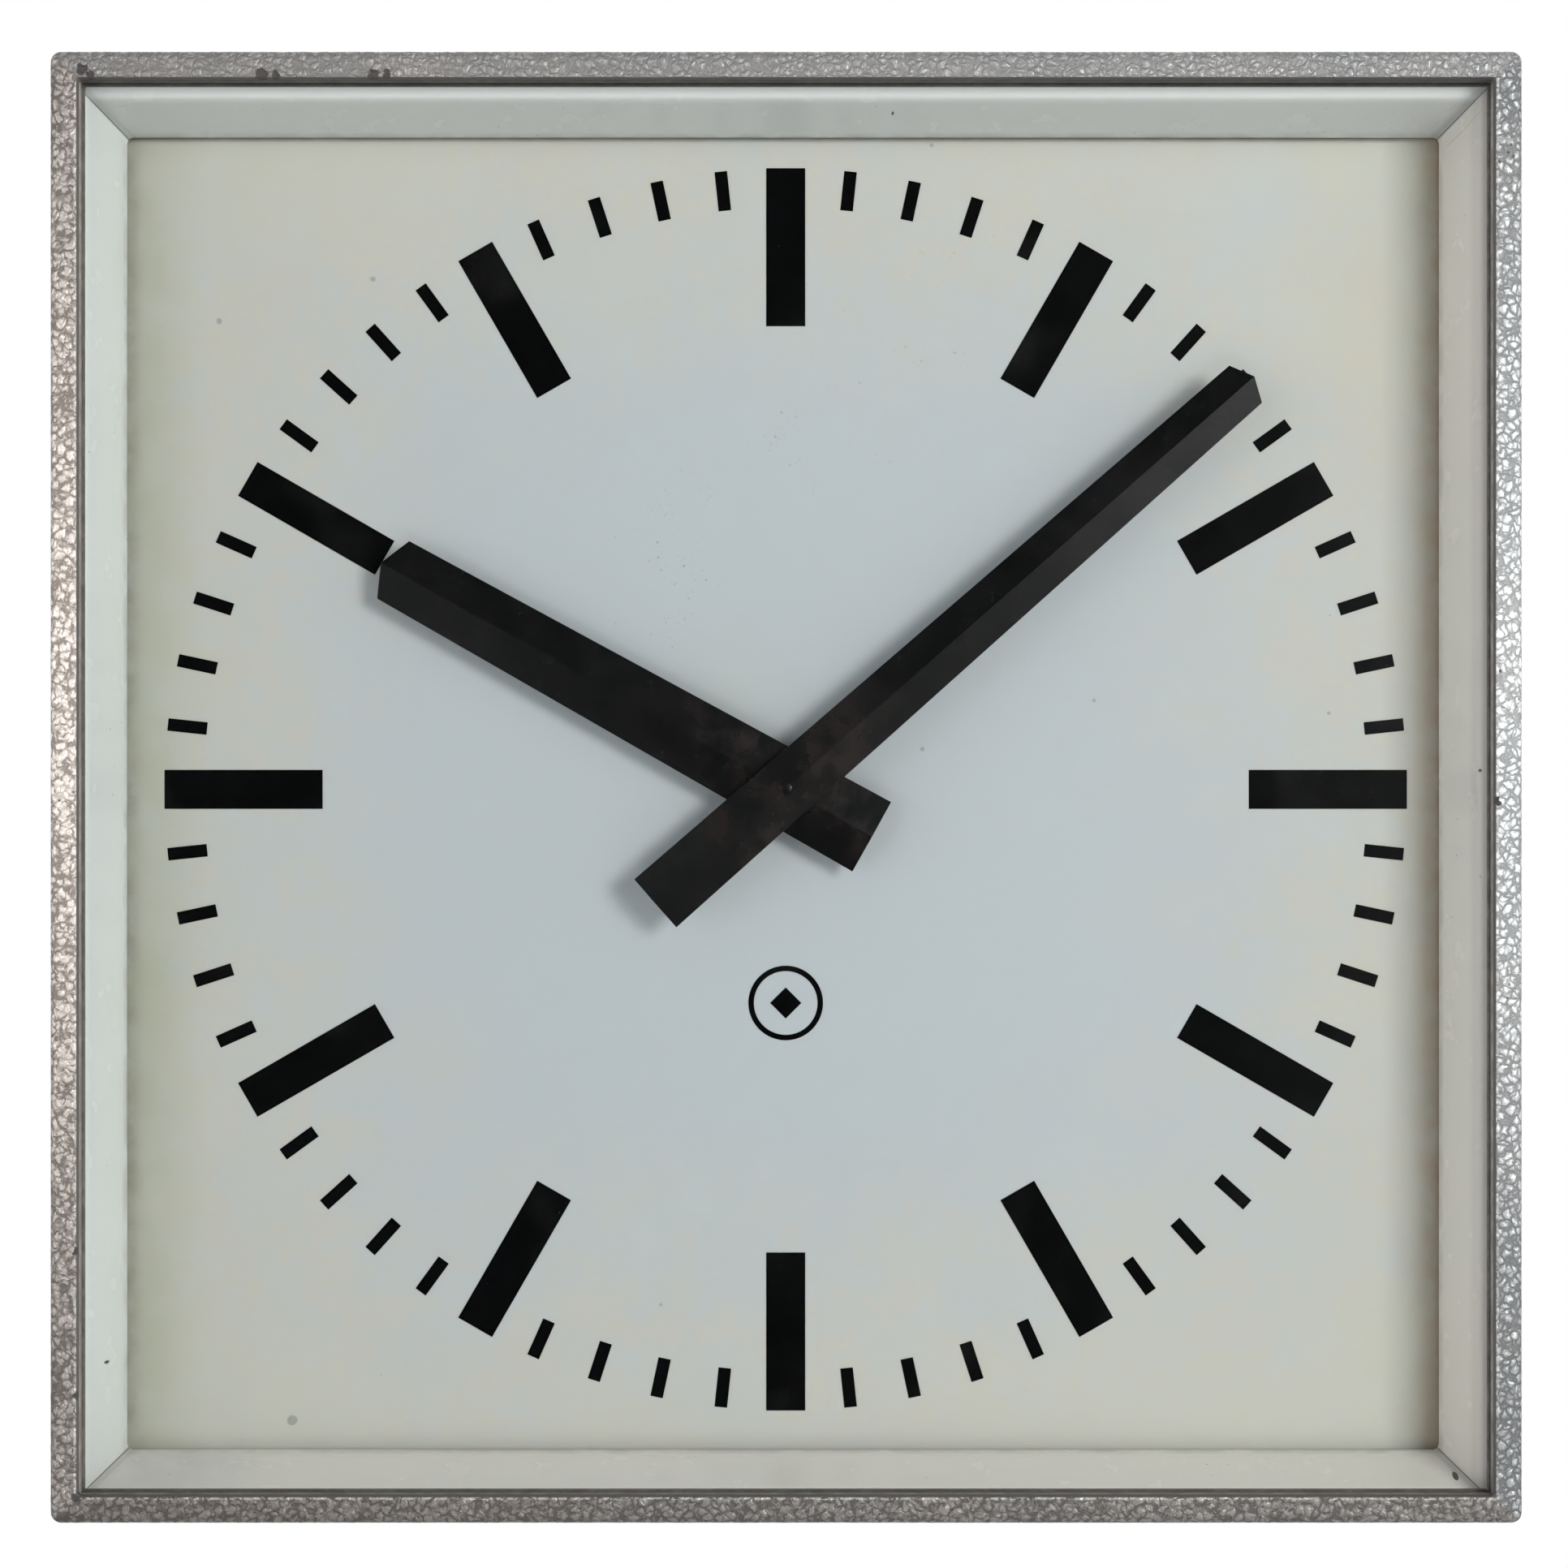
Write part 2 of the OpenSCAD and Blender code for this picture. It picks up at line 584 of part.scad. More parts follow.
module hour_hand() color([0.05, 0.05, 0.05]) face() rotate([0, 0, -hour_angle])
    hand(28.8, hour_hand_l - 3.9, hour_hand_l, 11.65, 9.65, 5.51, hour_z, 0.8);

module minute_hand() color([0.05, 0.05, 0.05]) face() rotate([0, 0, -min_angle])
    hand(50.6, min_hand_l - 3.1, min_hand_l, 9.3, 7.2, 1.76, min_z, 0.8);

// ---------- what is drawn ----------

front_frame();
glass();
glass_seal();
reflector_frame();
clip_studs();
retaining_clips();
clip_nuts();
back_case();
frame_screws();
frame_nuts();
dial_plate();
dial_hour_marks();
dial_minute_marks();
dial_emblem();
dial_screws();
dial_nuts();
cable_grommet();
earth_screw();
terminal_block();
terminal_screws();
coil_leads();
movement_standoffs();
movement_screws();
movement_back_plate();
movement_front_plate();
movement_pillars();
plate_screws();
arbor_bushes();
coil_core();
coil_bobbin();
coil_winding();
stator_poles();
stator_spacers();
stator_screws();
rotor_arbor();
rotor_magnet();
rotor_pinion();
intermediate_arbor();
intermediate_wheel();
intermediate_pinion();
centre_arbor();
centre_wheel();
cannon_pinion();
motion_stud();
stud_clip();
minute_wheel();
hour_wheel();
hour_collet();
hour_hand();
minute_collet();
minute_hand();
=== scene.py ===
import math

import bmesh
import bpy
import numpy as np
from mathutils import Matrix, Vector, noise


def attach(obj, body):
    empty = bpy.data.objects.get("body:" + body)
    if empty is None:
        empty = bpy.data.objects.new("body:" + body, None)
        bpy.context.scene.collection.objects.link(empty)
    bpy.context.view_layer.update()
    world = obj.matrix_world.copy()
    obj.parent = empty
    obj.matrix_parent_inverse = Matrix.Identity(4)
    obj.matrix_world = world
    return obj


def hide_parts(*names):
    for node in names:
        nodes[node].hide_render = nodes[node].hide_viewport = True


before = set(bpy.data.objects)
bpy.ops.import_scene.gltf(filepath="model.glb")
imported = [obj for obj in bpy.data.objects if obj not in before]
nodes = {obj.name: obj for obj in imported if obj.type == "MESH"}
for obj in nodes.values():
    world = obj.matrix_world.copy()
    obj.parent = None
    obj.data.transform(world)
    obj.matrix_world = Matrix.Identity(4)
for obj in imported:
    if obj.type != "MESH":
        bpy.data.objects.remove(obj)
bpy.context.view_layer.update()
col = bpy.context.scene.collection

# ---------------------------------------------------------------- node graphs


class Graph:
    """Small helper to write a procedural material as expressions."""

    def __init__(self, name, bsdf=True):
        self.m = bpy.data.materials.new(name)
        self.m.use_nodes = True
        self.t = self.m.node_tree
        self.t.nodes.clear()
        self.out = self.t.nodes.new("ShaderNodeOutputMaterial")
        self.tc = self.t.nodes.new("ShaderNodeTexCoord")
        self.pos = self.scale(self.tc.outputs["Object"], 1000.0)
        self.b = None
        if bsdf:
            self.b = self.t.nodes.new("ShaderNodeBsdfPrincipled")
            self.t.links.new(self.b.outputs[0], self.out.inputs[0])

    def put(self, sock, v):
        if isinstance(v, bpy.types.NodeSocket):
            self.t.links.new(v, sock)
        elif v is not None:
            if hasattr(sock.default_value, "__len__") and isinstance(v, (tuple, list)):
                n = len(sock.default_value)
                v = tuple(v)[:n] + (1.0,) * (n - len(v))
            sock.default_value = v

    def math(self, op, a, b=None, c=None, clamp=False):
        n = self.t.nodes.new("ShaderNodeMath")
        n.operation = op
        n.use_clamp = clamp
        for i, v in enumerate((a, b, c)):
            self.put(n.inputs[i], v)
        return n.outputs[0]

    def add(self, a, b):
        return self.math("ADD", a, b)

    def sub(self, a, b):
        return self.math("SUBTRACT", a, b)

    def mul(self, a, b):
        return self.math("MULTIPLY", a, b)

    def vec(self, op, a, b=None, s=None):
        n = self.t.nodes.new("ShaderNodeVectorMath")
        n.operation = op
        self.put(n.inputs[0], a)
        if b is not None:
            self.put(n.inputs[1], b)
        if s is not None:
            self.put(n.inputs["Scale"], s)
        return n.outputs["Value"] if op in ("LENGTH", "DISTANCE", "DOT_PRODUCT") else n.outputs["Vector"]

    def scale(self, a, s):
        return self.vec("SCALE", a, s=s)

    def sep(self, v):
        n = self.t.nodes.new("ShaderNodeSeparateXYZ")
        self.put(n.inputs[0], v)
        return n.outputs[0], n.outputs[1], n.outputs[2]

    def comb(self, x, y, z):
        n = self.t.nodes.new("ShaderNodeCombineXYZ")
        for i, v in enumerate((x, y, z)):
            self.put(n.inputs[i], v)
        return n.outputs[0]

    def noise(self, size, detail=3.0, rough=0.55, vec=None, distort=0.0, colour=False):
        n = self.t.nodes.new("ShaderNodeTexNoise")
        self.put(n.inputs["Vector"], vec if vec is not None else self.pos)
        n.inputs["Scale"].default_value = 1.0 / size
        n.inputs["Detail"].default_value = detail
        n.inputs["Roughness"].default_value = rough
        n.inputs["Distortion"].default_value = distort
        return n.outputs["Color" if colour else 0]

    def voro(self, size, feature="F1", vec=None, out="Distance", rand=1.0, smooth=None):
        n = self.t.nodes.new("ShaderNodeTexVoronoi")
        n.feature = feature
        self.put(n.inputs["Vector"], vec if vec is not None else self.pos)
        n.inputs["Scale"].default_value = 1.0 / size
        n.inputs["Randomness"].default_value = rand
        if smooth is not None and "Smoothness" in n.inputs:
            n.inputs["Smoothness"].default_value = smooth
        return n.outputs[out]

    def warp(self, amount, size, vec=None, detail=2.0):
        v = vec if vec is not None else self.pos
        c = self.noise(size, detail, 0.5, vec=v, colour=True)
        return self.vec("ADD", v, self.scale(self.vec("SUBTRACT", c, (0.5, 0.5, 0.5)), 2.0 * amount))

    def step(self, v, a, b, lo=0.0, hi=1.0):
        n = self.t.nodes.new("ShaderNodeMapRange")
        n.interpolation_type = "SMOOTHSTEP"
        for k, x in (("Value", v), ("From Min", a), ("From Max", b), ("To Min", lo), ("To Max", hi)):
            self.put(n.inputs[k], x)
        return n.outputs[0]

    def lin(self, v, a, b, lo=0.0, hi=1.0):
        n = self.t.nodes.new("ShaderNodeMapRange")
        for k, x in (("Value", v), ("From Min", a), ("From Max", b), ("To Min", lo), ("To Max", hi)):
            self.put(n.inputs[k], x)
        return n.outputs[0]

    def mix(self, f, a, b, blend="MIX"):
        n = self.t.nodes.new("ShaderNodeMix")
        n.data_type = "RGBA"
        n.blend_type = blend
        self.put(n.inputs[0], f)
        self.put(n.inputs[6], a)
        self.put(n.inputs[7], b)
        return n.outputs[2]

    def fmix(self, f, a, b):
        n = self.t.nodes.new("ShaderNodeMix")
        n.data_type = "FLOAT"
        self.put(n.inputs[0], f)
        self.put(n.inputs[2], a)
        self.put(n.inputs[3], b)
        return n.outputs[0]

    def bump(self, h, dist, strength=1.0, normal=None):
        n = self.t.nodes.new("ShaderNodeBump")
        n.inputs["Strength"].default_value = strength
        n.inputs["Distance"].default_value = dist * 0.001
        self.put(n.inputs["Height"], h)
        if normal is not None:
            self.put(n.inputs["Normal"], normal)
        return n.outputs[0]

    def blob(self, v, x, z, r, soft):
        """1 inside a round spot of radius r at (x, z) mm, 0 outside."""
        d = self.vec("DISTANCE", v, (x, 0.0, z))
        return self.step(d, r + soft, max(0.0, r - soft * 0.2), 0.0, 1.0)

    def flat(self, v=None):
        x, _, z = self.sep(v if v is not None else self.pos)
        return self.comb(x, 0.0, z), x, z

    def set(self, **k):
        names = {"color": "Base Color", "rough": "Roughness", "metal": "Metallic", "spec": "Specular IOR Level",
                 "normal": "Normal", "coat": "Coat Weight", "coat_rough": "Coat Roughness", "ior": "IOR",
                 "aniso": "Anisotropic", "sub": "Subsurface Weight"}
        for a, v in k.items():
            self.put(self.b.inputs[names[a]], v)
        return self.m


# ---------------------------------------------------------------- materials

# chips and bare specks on the lip's inner edge: x, z, radius in mm
CHIPS = [(-149.5, 202.7, 1.6), (-145.4, 202.5, 1.1), (-117.6, 202.6, 1.5), (-114.0, 202.9, 0.9), (-200.6, 204.4, 1.5),
         (-198.2, 202.6, 1.0), (202.4, -4.2, 0.9), (-202.4, -132.5, 0.8), (-202.3, -173.4, 0.8), (-202.2, -202.4, 1.0)]


def sides(g, x, z):
    """Soft masks of the four sides of a square ring: top, bottom, left, right."""
    ax, az = g.math("ABSOLUTE", x), g.math("ABSOLUTE", z)
    return (g.step(g.sub(z, ax), -1.5, 1.5), g.step(g.sub(g.mul(z, -1.0), ax), -1.5, 1.5),
            g.step(g.sub(g.mul(x, -1.0), az), -1.5, 1.5), g.step(g.sub(x, az), -1.5, 1.5), ax, az)


def hammer_paint(name):
    g = Graph(name)
    flat, x, z = g.flat()
    top, bottom, left, right, ax, az = sides(g, x, z)
    hh = g.math("MAXIMUM", ax, az)

    def by_side(t, b, l, r):
        return g.add(g.add(g.mul(top, t), g.mul(bottom, b)), g.add(g.mul(left, l), g.mul(right, r)))

    # close-set rounded pebbles, flatter at the top, more crumpled at the left and bottom
    big = g.noise(34, 2)
    fineness = g.math("ADD", by_side(0.15, 0.62, 0.55, 0.12), g.mul(g.sub(big, 0.5), 0.9), clamp=True)
    w = g.warp(0.8, 1.5, g.warp(1.5, 5.0))
    dome = g.step(g.voro(2.35, "F1", w), 0.75, 0.1)
    crease = g.step(g.voro(2.35, "DISTANCE_TO_EDGE", w), -0.03, 0.30)
    worm = g.math("ABSOLUTE", g.sub(g.noise(3.0, 3, 0.55, vec=w), 0.5))
    coarse = g.add(g.mul(crease, 0.5), g.mul(dome, 0.5))
    fine = g.add(g.mul(g.step(worm, 0.0, 0.10), 0.5), g.add(g.mul(crease, 0.28), g.mul(dome, 0.22)))
    h = g.fmix(fineness, coarse, fine)
    # colour: lighter crests and darker creases, partly the paint's own mottle, partly painted shade in the creases and
    # painted highlight on the crests; the contrast per side is painted light
    wallside = g.step(g.sep(g.pos)[1], -77.8, -75.5)
    painted_relief_contrast = g.mul(by_side(0.42, 0.95, 1.0, 0.92), g.sub(1.0, g.mul(wallside, 0.5)))
    # painted light: each side of the lip gets its own tone, the top and bottom darker and lighter towards the right,
    # the two sides lightest just above the middle
    painted_glow = g.step(g.math("ABSOLUTE", g.sub(z, 30.0)), 215.0, 0.0)
    run = g.lin(x, -210, 210, 0.86, 1.12)
    painted_side_light = g.add(g.add(g.mul(g.mul(top, 0.455), run), g.mul(g.mul(bottom, 0.30), run)),
                 g.add(g.mul(left, g.add(0.46, g.mul(painted_glow, 0.78))), g.mul(right, g.add(0.50, g.mul(painted_glow, 0.68)))))
    painted_side_light = g.fmix(wallside, painted_side_light, 0.66)
    painted_side_light = g.mul(painted_side_light, g.add(1.0, g.mul(g.sub(big, 0.5), 0.25)))
    crest = g.step(h, 0.10, 0.80)
    crest = g.add(g.mul(g.sub(crest, 0.78), painted_relief_contrast), 0.78)
    warm = g.math("ADD", g.add(by_side(0.30, 0.75, 0.9, 0.0), g.lin(x, -210, 60, 0.35, 0.0)), g.mul(g.sub(big, 0.5), 0.7), clamp=True)
    light = g.mix(warm, (0.680, 0.705, 0.720), (0.690, 0.626, 0.583))
    dark = g.mix(warm, (0.20, 0.205, 0.21), (0.205, 0.175, 0.155))
    c = g.mix(crest, dark, light)
    c = g.mix(1.0, c, g.comb(painted_side_light, painted_side_light, painted_side_light), "MULTIPLY")
    # painted highlight: the rolled inner edge is a little lighter on three sides, not at the top
    painted_edge_highlight = g.mul(g.mul(g.step(hh, 203.1, 202.7), g.step(hh, 202.1, 202.4)), g.mul(g.sub(0.42, g.mul(top, 0.42)), g.step(worm, 0.01, 0.07)))
    c = g.mix(painted_edge_highlight, c, (0.60, 0.585, 0.56))
    # painted shade: the lip's inner wall is coloured near black
    wall = g.step(hh, 202.28, 202.06)
    c = g.mix(wall, c, (0.085, 0.076, 0.07))
    speck = g.mul(g.step(g.voro(3.1, "F1"), 0.16, 0.11), g.step(big, 0.62, 0.66))
    wf = g.comb(g.add(x, g.mul(g.sub(worm, 0.1), 3.0)), 0.0, g.add(z, g.mul(g.sub(dome, 0.4), 1.2)))
    chips = g.mul(speck, 0.8)
    for cx, cz, r in CHIPS:
        chips = g.math("MAXIMUM", chips, g.blob(wf, cx, cz, r, 0.35))
    c = g.mix(chips, c, (0.045, 0.04, 0.038))
    dull = g.math("MAXIMUM", chips, wall)
    metal = g.fmix(dull, g.lin(crest, 0.2, 1.0, 0.22, 0.42), 0.05)
    rough = g.fmix(dull, g.lin(crest, 0.2, 1.0, 0.55, 0.40), 0.75)
    n = g.bump(g.mul(g.sub(h, g.mul(chips, 1.0)), g.sub(1.0, g.mul(wall, 0.8))), 0.62, 0.9)
    return g.set(color=c, rough=rough, metal=metal, normal=n)


def back_paint(name):
    g = Graph(name)
    x, y, z = g.sep(g.pos)
    peel = g.noise(1.3, 3, 0.5)
    cloud = g.noise(70, 4, 0.6)
    c = g.mix(g.step(cloud, 0.3, 0.7), (0.285, 0.29, 0.285), (0.335, 0.335, 0.325))
    # dust that settled on the upper half, and rubbed marks round the fixings
    dust = g.mul(g.step(z, -40, 190), g.step(g.noise(26, 4), 0.35, 0.7))
    c = g.mix(g.mul(dust, 0.35), c, (0.43, 0.41, 0.37))
    flat, _, _ = g.flat()
    wf, _, _ = g.flat(g.warp(2.2, 7))
    rub = None
    for px, pz in ((-120, 152), (120, 152), (-120, -150), (120, -150)):
        b = g.blob(wf, px, pz, 8.5, 4.0)
        rub = b if rub is None else g.math("MAXIMUM", rub, b)
    streak = g.step(g.noise(1.2, 3, 0.6, vec=g.comb(g.mul(x, 1.0), 0.0, g.mul(z, 0.08))), 0.62, 0.72)
    rub = g.math("MAXIMUM", g.mul(rub, g.step(g.noise(2.4, 4), 0.4, 0.62)), g.mul(streak, g.mul(g.step(g.noise(33, 3), 0.55, 0.7), 0.5)))
    c = g.mix(g.mul(rub, 0.75), c, (0.47, 0.46, 0.44))
    stain = g.mul(g.step(g.noise(15, 4, 0.65), 0.6, 0.75), 0.5)
    c = g.mix(stain, c, (0.2, 0.175, 0.14))
    rough = g.add(g.lin(cloud, 0, 1, 0.42, 0.6), g.mul(dust, 0.15))
    return g.set(color=c, rough=rough, metal=g.mul(rub, 0.7), normal=g.bump(g.add(peel, g.mul(rub, -0.5)), 0.05, 0.8))


def enamel(name, ox, oz):
    g = Graph(name)
    x, y, z = g.sep(g.pos)
    xx, zz = g.sub(x, ox), g.sub(z, oz)
    top, bottom, left, right, ax, az = sides(g, xx, zz)
    hh = g.math("MAXIMUM", ax, az)
    big = g.noise(48, 3)
    mid = g.noise(9, 3)
    c = g.mix(g.step(big, 0.3, 0.7), (0.80, 0.825, 0.815), (0.775, 0.80, 0.785))
    c = g.mix(g.mul(right, 0.85), c, (0.875, 0.805, 0.742))
    c = g.mix(g.mul(bottom, 0.8), c, (0.87, 0.815, 0.752))
    # painted shade: the top bevel is coloured darker and greyer
    c = g.mix(g.mul(top, 0.8), c, (0.645, 0.655, 0.643))
    # painted highlight: a light band along the outer edge of the top bevel
    strip = g.mul(top, g.step(g.add(hh, g.mul(g.sub(mid, 0.5), 0.25)), 198.9, 200.2))
    c = g.mix(strip, c, (0.885, 0.90, 0.905))
    # greyish cloud by the lower left mitre, pinkish strip at the outer edge of the right bevel
    flat = g.comb(x, 0.0, z)
    cloud = g.blob(g.comb(g.mul(x, 0.35), 0.0, z), -62.0, -199.0, 3.0, 9.0)
    c = g.mix(g.mul(g.mul(cloud, mid), 0.7), c, (0.55, 0.56, 0.57))
    pink = g.mul(right, g.step(hh, 198.2, 199.6))
    c = g.mix(g.mul(pink, 0.5), c, (0.70, 0.625, 0.62))
    # the side sheets lap over the top and bottom ones: a soft shade lies on these beside each seam
    seam_d = g.math("ABSOLUTE", g.sub(ax, az))
    lap = g.mul(g.add(top, g.mul(bottom, 0.8)), g.step(g.add(seam_d, g.mul(g.sub(mid, 0.5), 1.5)), 4.6, 0.1))
    c = g.mix(g.mul(lap, 0.52), c, (0.27, 0.275, 0.265))
    soft = g.mul(g.add(left, right), g.step(seam_d, 1.0, 0.1))
    c = g.mix(g.mul(soft, 0.18), c, (0.35, 0.34, 0.32))
    seam = g.step(seam_d, 0.34, 0.12)
    c = g.mix(g.mul(seam, 0.70), c, (0.13, 0.125, 0.115))
    low = g.mul(g.step(hh, 194.2, 192.9), g.step(mid, 0.2, 0.7))
    c = g.mix(g.mul(low, 0.42), c, (0.34, 0.32, 0.28))
    # a few dark specks and one hairline scratch
    specks = g.mul(g.mul(g.step(g.voro(5.2), 0.055, 0.035), g.step(big, 0.5, 0.56)), 0.65)
    for px, pz, r in ((202.6, 190.9, 0.55), (194.0, -199.3, 0.75), (-197.5, -166.8, 0.4), (199.9, 5.0, 0.35), (31.0, 196.0, 0.25)):
        specks = g.math("MAXIMUM", specks, g.blob(flat, px, pz, r, 0.22))
    c = g.mix(specks, c, (0.06, 0.055, 0.05))
    sd = g.math("ABSOLUTE", g.sub(g.add(z, g.mul(g.sub(mid, 0.5), 0.8)), g.add(g.mul(g.sub(x, 196.0), 1.05), 190.5)))
    scratch = g.mul(g.step(sd, 0.22, 0.08), g.mul(g.step(x, 193.0, 194.0), g.step(x, 201.0, 199.5)))
    c = g.mix(g.mul(scratch, 0.5), c, (0.4, 0.39, 0.37))
    rough = g.add(g.lin(mid, 0, 1, 0.21, 0.31), g.mul(g.math("MAXIMUM", low, lap), 0.2))
    h = g.sub(g.mul(g.noise(2.2, 2, 0.45), 0.6), g.add(g.mul(seam, 1.0), g.mul(specks, 0.5)))
    return g.set(color=c, rough=rough, normal=g.bump(h, 0.035, 0.8))


def dial_paint(name):
    g = Graph(name)
    x, y, z = g.sep(g.pos)
    flat = g.comb(x, 0.0, z)
    ax, az = g.math("ABSOLUTE", x), g.math("ABSOLUTE", z)
    hh = g.math("MAXIMUM", ax, az)
    rr = g.vec("LENGTH", flat)
    huge = g.noise(75, 3, 0.55)
    mid = g.noise(24, 3)
    small = g.noise(6.5, 3, 0.6)
    # cool centre, yellowed towards the edges and corners
    far = g.add(g.add(g.mul(rr, 0.55), g.mul(hh, 0.6)), g.mul(g.sub(huge, 0.5), 100))
    yellow = g.step(far, 112, 262)
    c = g.mix(yellow, (0.558, 0.594, 0.628), (0.645, 0.634, 0.582))
    mottle = g.mul(g.step(g.add(g.mul(mid, 0.5), g.mul(small, 0.5)), 0.44, 0.60), g.step(far, 95, 200))
    c = g.mix(g.mul(mottle, 0.5), c, (0.655, 0.605, 0.53))
    cool = g.mul(g.step(g.noise(17, 4, 0.65), 0.56, 0.68), g.step(far, 60, 150))
    c = g.mix(g.mul(cool, 0.38), c, (0.59, 0.63, 0.66))
    corner = g.mul(g.step(rr, 205, 262), g.step(mid, 0.2, 0.8))
    c = g.mix(g.mul(corner, 0.55), c, (0.665, 0.675, 0.595))
    # along the left edge an olive tint and along the right edge a brown one, each partly painted shade from the bevel
    olive_tint_and_shade = g.mul(g.step(g.mul(x, -1.0), 168, 192), g.step(mid, 0.1, 0.7))
    c = g.mix(g.mul(olive_tint_and_shade, 0.8), c, (0.50, 0.515, 0.395))
    brown = g.mul(g.step(x, 176, 193), g.step(mid, 0.8, 0.1))
    c = g.mix(g.mul(brown, 0.75), c, (0.50, 0.45, 0.36))
    low = g.mul(g.step(g.mul(z, -1.0), 150, 195), g.step(huge, 0.25, 0.8))
    c = g.mix(g.mul(low, 0.35), c, (0.66, 0.65, 0.575))
    # warm blotches
    wf = g.comb(g.add(x, g.mul(g.sub(mid, 0.5), 26)), 0.0, g.add(z, g.mul(g.sub(huge, 0.5), 30)))
    for px, pz, r, s, a, tint in ((165.6, 129.9, 6, 24, 0.48, (0.66, 0.615, 0.51)), (-105, -76, 5, 18, 0.30, (0.625, 0.61, 0.56)),
                                  (-16, 25, 8, 22, 0.18, (0.61, 0.605, 0.55)), (150, 152, 4, 20, 0.25, (0.655, 0.645, 0.56)),
                                  (166, -58, 4, 22, 0.30, (0.66, 0.63, 0.54)), (-178, 40, 6, 26, 0.22, (0.62, 0.625, 0.53)),
                                  (138, 168, 6, 24, 0.60, (0.595, 0.63, 0.66)), (172, 150, 3, 16, 0.45, (0.655, 0.60, 0.53)), (174, 96, 3, 14, 0.40, (0.655, 0.60, 0.52))):
        c = g.mix(g.mul(g.blob(wf, px, pz, r, s), a), c, tint)
    # foxing: a diagonal drift of fine specks from the upper right to the left of the hands
    off = g.math("ABSOLUTE", g.add(g.sub(g.mul(x, 0.666), g.mul(z, 0.746)), 72.0))
    run = g.add(g.mul(x, 0.746), g.mul(z, 0.666))
    band = g.mul(g.step(off, 34, 4), g.mul(g.step(run, -62, -20), g.step(run, 172, 130)))
    band = g.mul(band, g.step(mid, 0.42, 0.6))
    dots = g.math("MAXIMUM", g.step(g.voro(2.9), 0.16, 0.11), g.mul(g.step(g.voro(1.55, vec=g.vec("ADD", g.pos, (7.0, 3.0, 9.0))), 0.18, 0.13), 0.7))
    fox = g.mul(g.mul(dots, g.step(small, 0.46, 0.55)), band)
    c = g.mix(g.mul(fox, 0.6), c, (0.30, 0.29, 0.24))
    stray = g.step(g.voro(21, vec=g.vec("ADD", g.pos, (31.0, 0.0, 5.0))), 0.018, 0.011)
    c = g.mix(g.mul(stray, 0.6), c, (0.25, 0.235, 0.20))
    spots = None
    sf = g.comb(g.add(x, g.mul(g.sub(small, 0.5), 1.2)), 0.0, z)
    for px, pz, r in ((-121.9, 150.5, 0.55), (-167.1, 138.1, 0.7), (40.4, 11.9, 0.45), (-145.6, -186.1, 1.3), (91.0, 26.2, 0.3),
                      (160.2, 22.5, 0.3), (43.0, 190.0, 0.35), (-37.0, -152.0, 0.3)):
        b = g.blob(sf, px, pz, r, 0.5)
        spots = b if spots is None else g.math("MAXIMUM", spots, b)
    c = g.mix(g.mul(spots, 0.62), c, (0.27, 0.29, 0.27))
    # painted shade: a dark line round the dial against the surround, fainter at the bottom and heavier at the left
    line = g.mul(g.step(hh, 189.0, 194.0), g.step(small, 0.1, 0.9))
    weight = g.add(g.sub(0.42, g.mul(g.step(g.mul(z, -1.0), 188, 191), 0.34)), g.mul(g.step(g.mul(x, -1.0), 186, 190), 0.30))
    c = g.mix(g.mul(line, weight), c, (0.33, 0.315, 0.27))
    # painted shade: a thin dark line under the top bevel
    painted_top_edge_shade = g.mul(g.step(z, 190.9, 192.5), g.add(0.45, g.mul(g.sub(small, 0.5), 0.5)))
    c = g.mix(painted_top_edge_shade, c, (0.14, 0.13, 0.11))
    # along the right edge: partly a rust-brown stain, partly painted shade from the right bevel
    rust = g.mul(g.step(x, 183, 193.0), g.step(small, -0.1, 0.8))
    c = g.mix(g.mul(rust, 0.62), c, (0.50, 0.33, 0.195))
    rough = g.lin(mid, 0, 1, 0.44, 0.6)
    return g.set(color=c, rough=rough, spec=0.35, normal=g.bump(g.add(g.mul(g.noise(0.8, 1), 0.5), small), 0.02, 0.6))


def print_black(name):
    g = Graph(name)
    n = g.noise(9, 3)
    c = g.mix(n, (0.0010, 0.0010, 0.0011), (0.0030, 0.0032, 0.0038))
    pin = g.mul(g.step(g.voro(4.2), 0.05, 0.03), g.step(n, 0.52, 0.6))
    c = g.mix(g.mul(pin, 0.5), c, (0.12, 0.11, 0.1))
    return g.set(color=c, rough=g.lin(n, 0, 1, 0.20, 0.30), spec=0.13, normal=g.bump(g.noise(0.7, 1), 0.01, 0.5))


def hand_black(name):
    g = Graph(name)
    x, y, z = g.sep(g.pos)
    rr = g.vec("LENGTH", g.comb(x, 0.0, z))
    c = g.mix(g.step(g.noise(12, 3), 0.3, 0.7), (0.0030, 0.0030, 0.0034), (0.0062, 0.0060, 0.0064))
    # handled round the boss and on the tails: brownish smears
    near = g.mul(g.step(rr, 56, 14), g.step(g.noise(11, 4, 0.6), 0.42, 0.7))
    c = g.mix(g.mul(near, 0.55), c, (0.023, 0.0135, 0.011))
    dust = g.mul(g.step(g.noise(3.2, 4, 0.7), 0.56, 0.75), 0.35)
    c = g.mix(dust, c, (0.022, 0.022, 0.023))
    rough = g.add(g.lin(g.noise(7, 3), 0, 1, 0.17, 0.27), g.mul(near, 0.1))
    h = g.add(g.noise(0.75, 2), g.mul(g.noise(3.0, 2), 0.7))
    return g.set(color=c, rough=rough, spec=0.33, normal=g.bump(h, 0.018, 0.7))


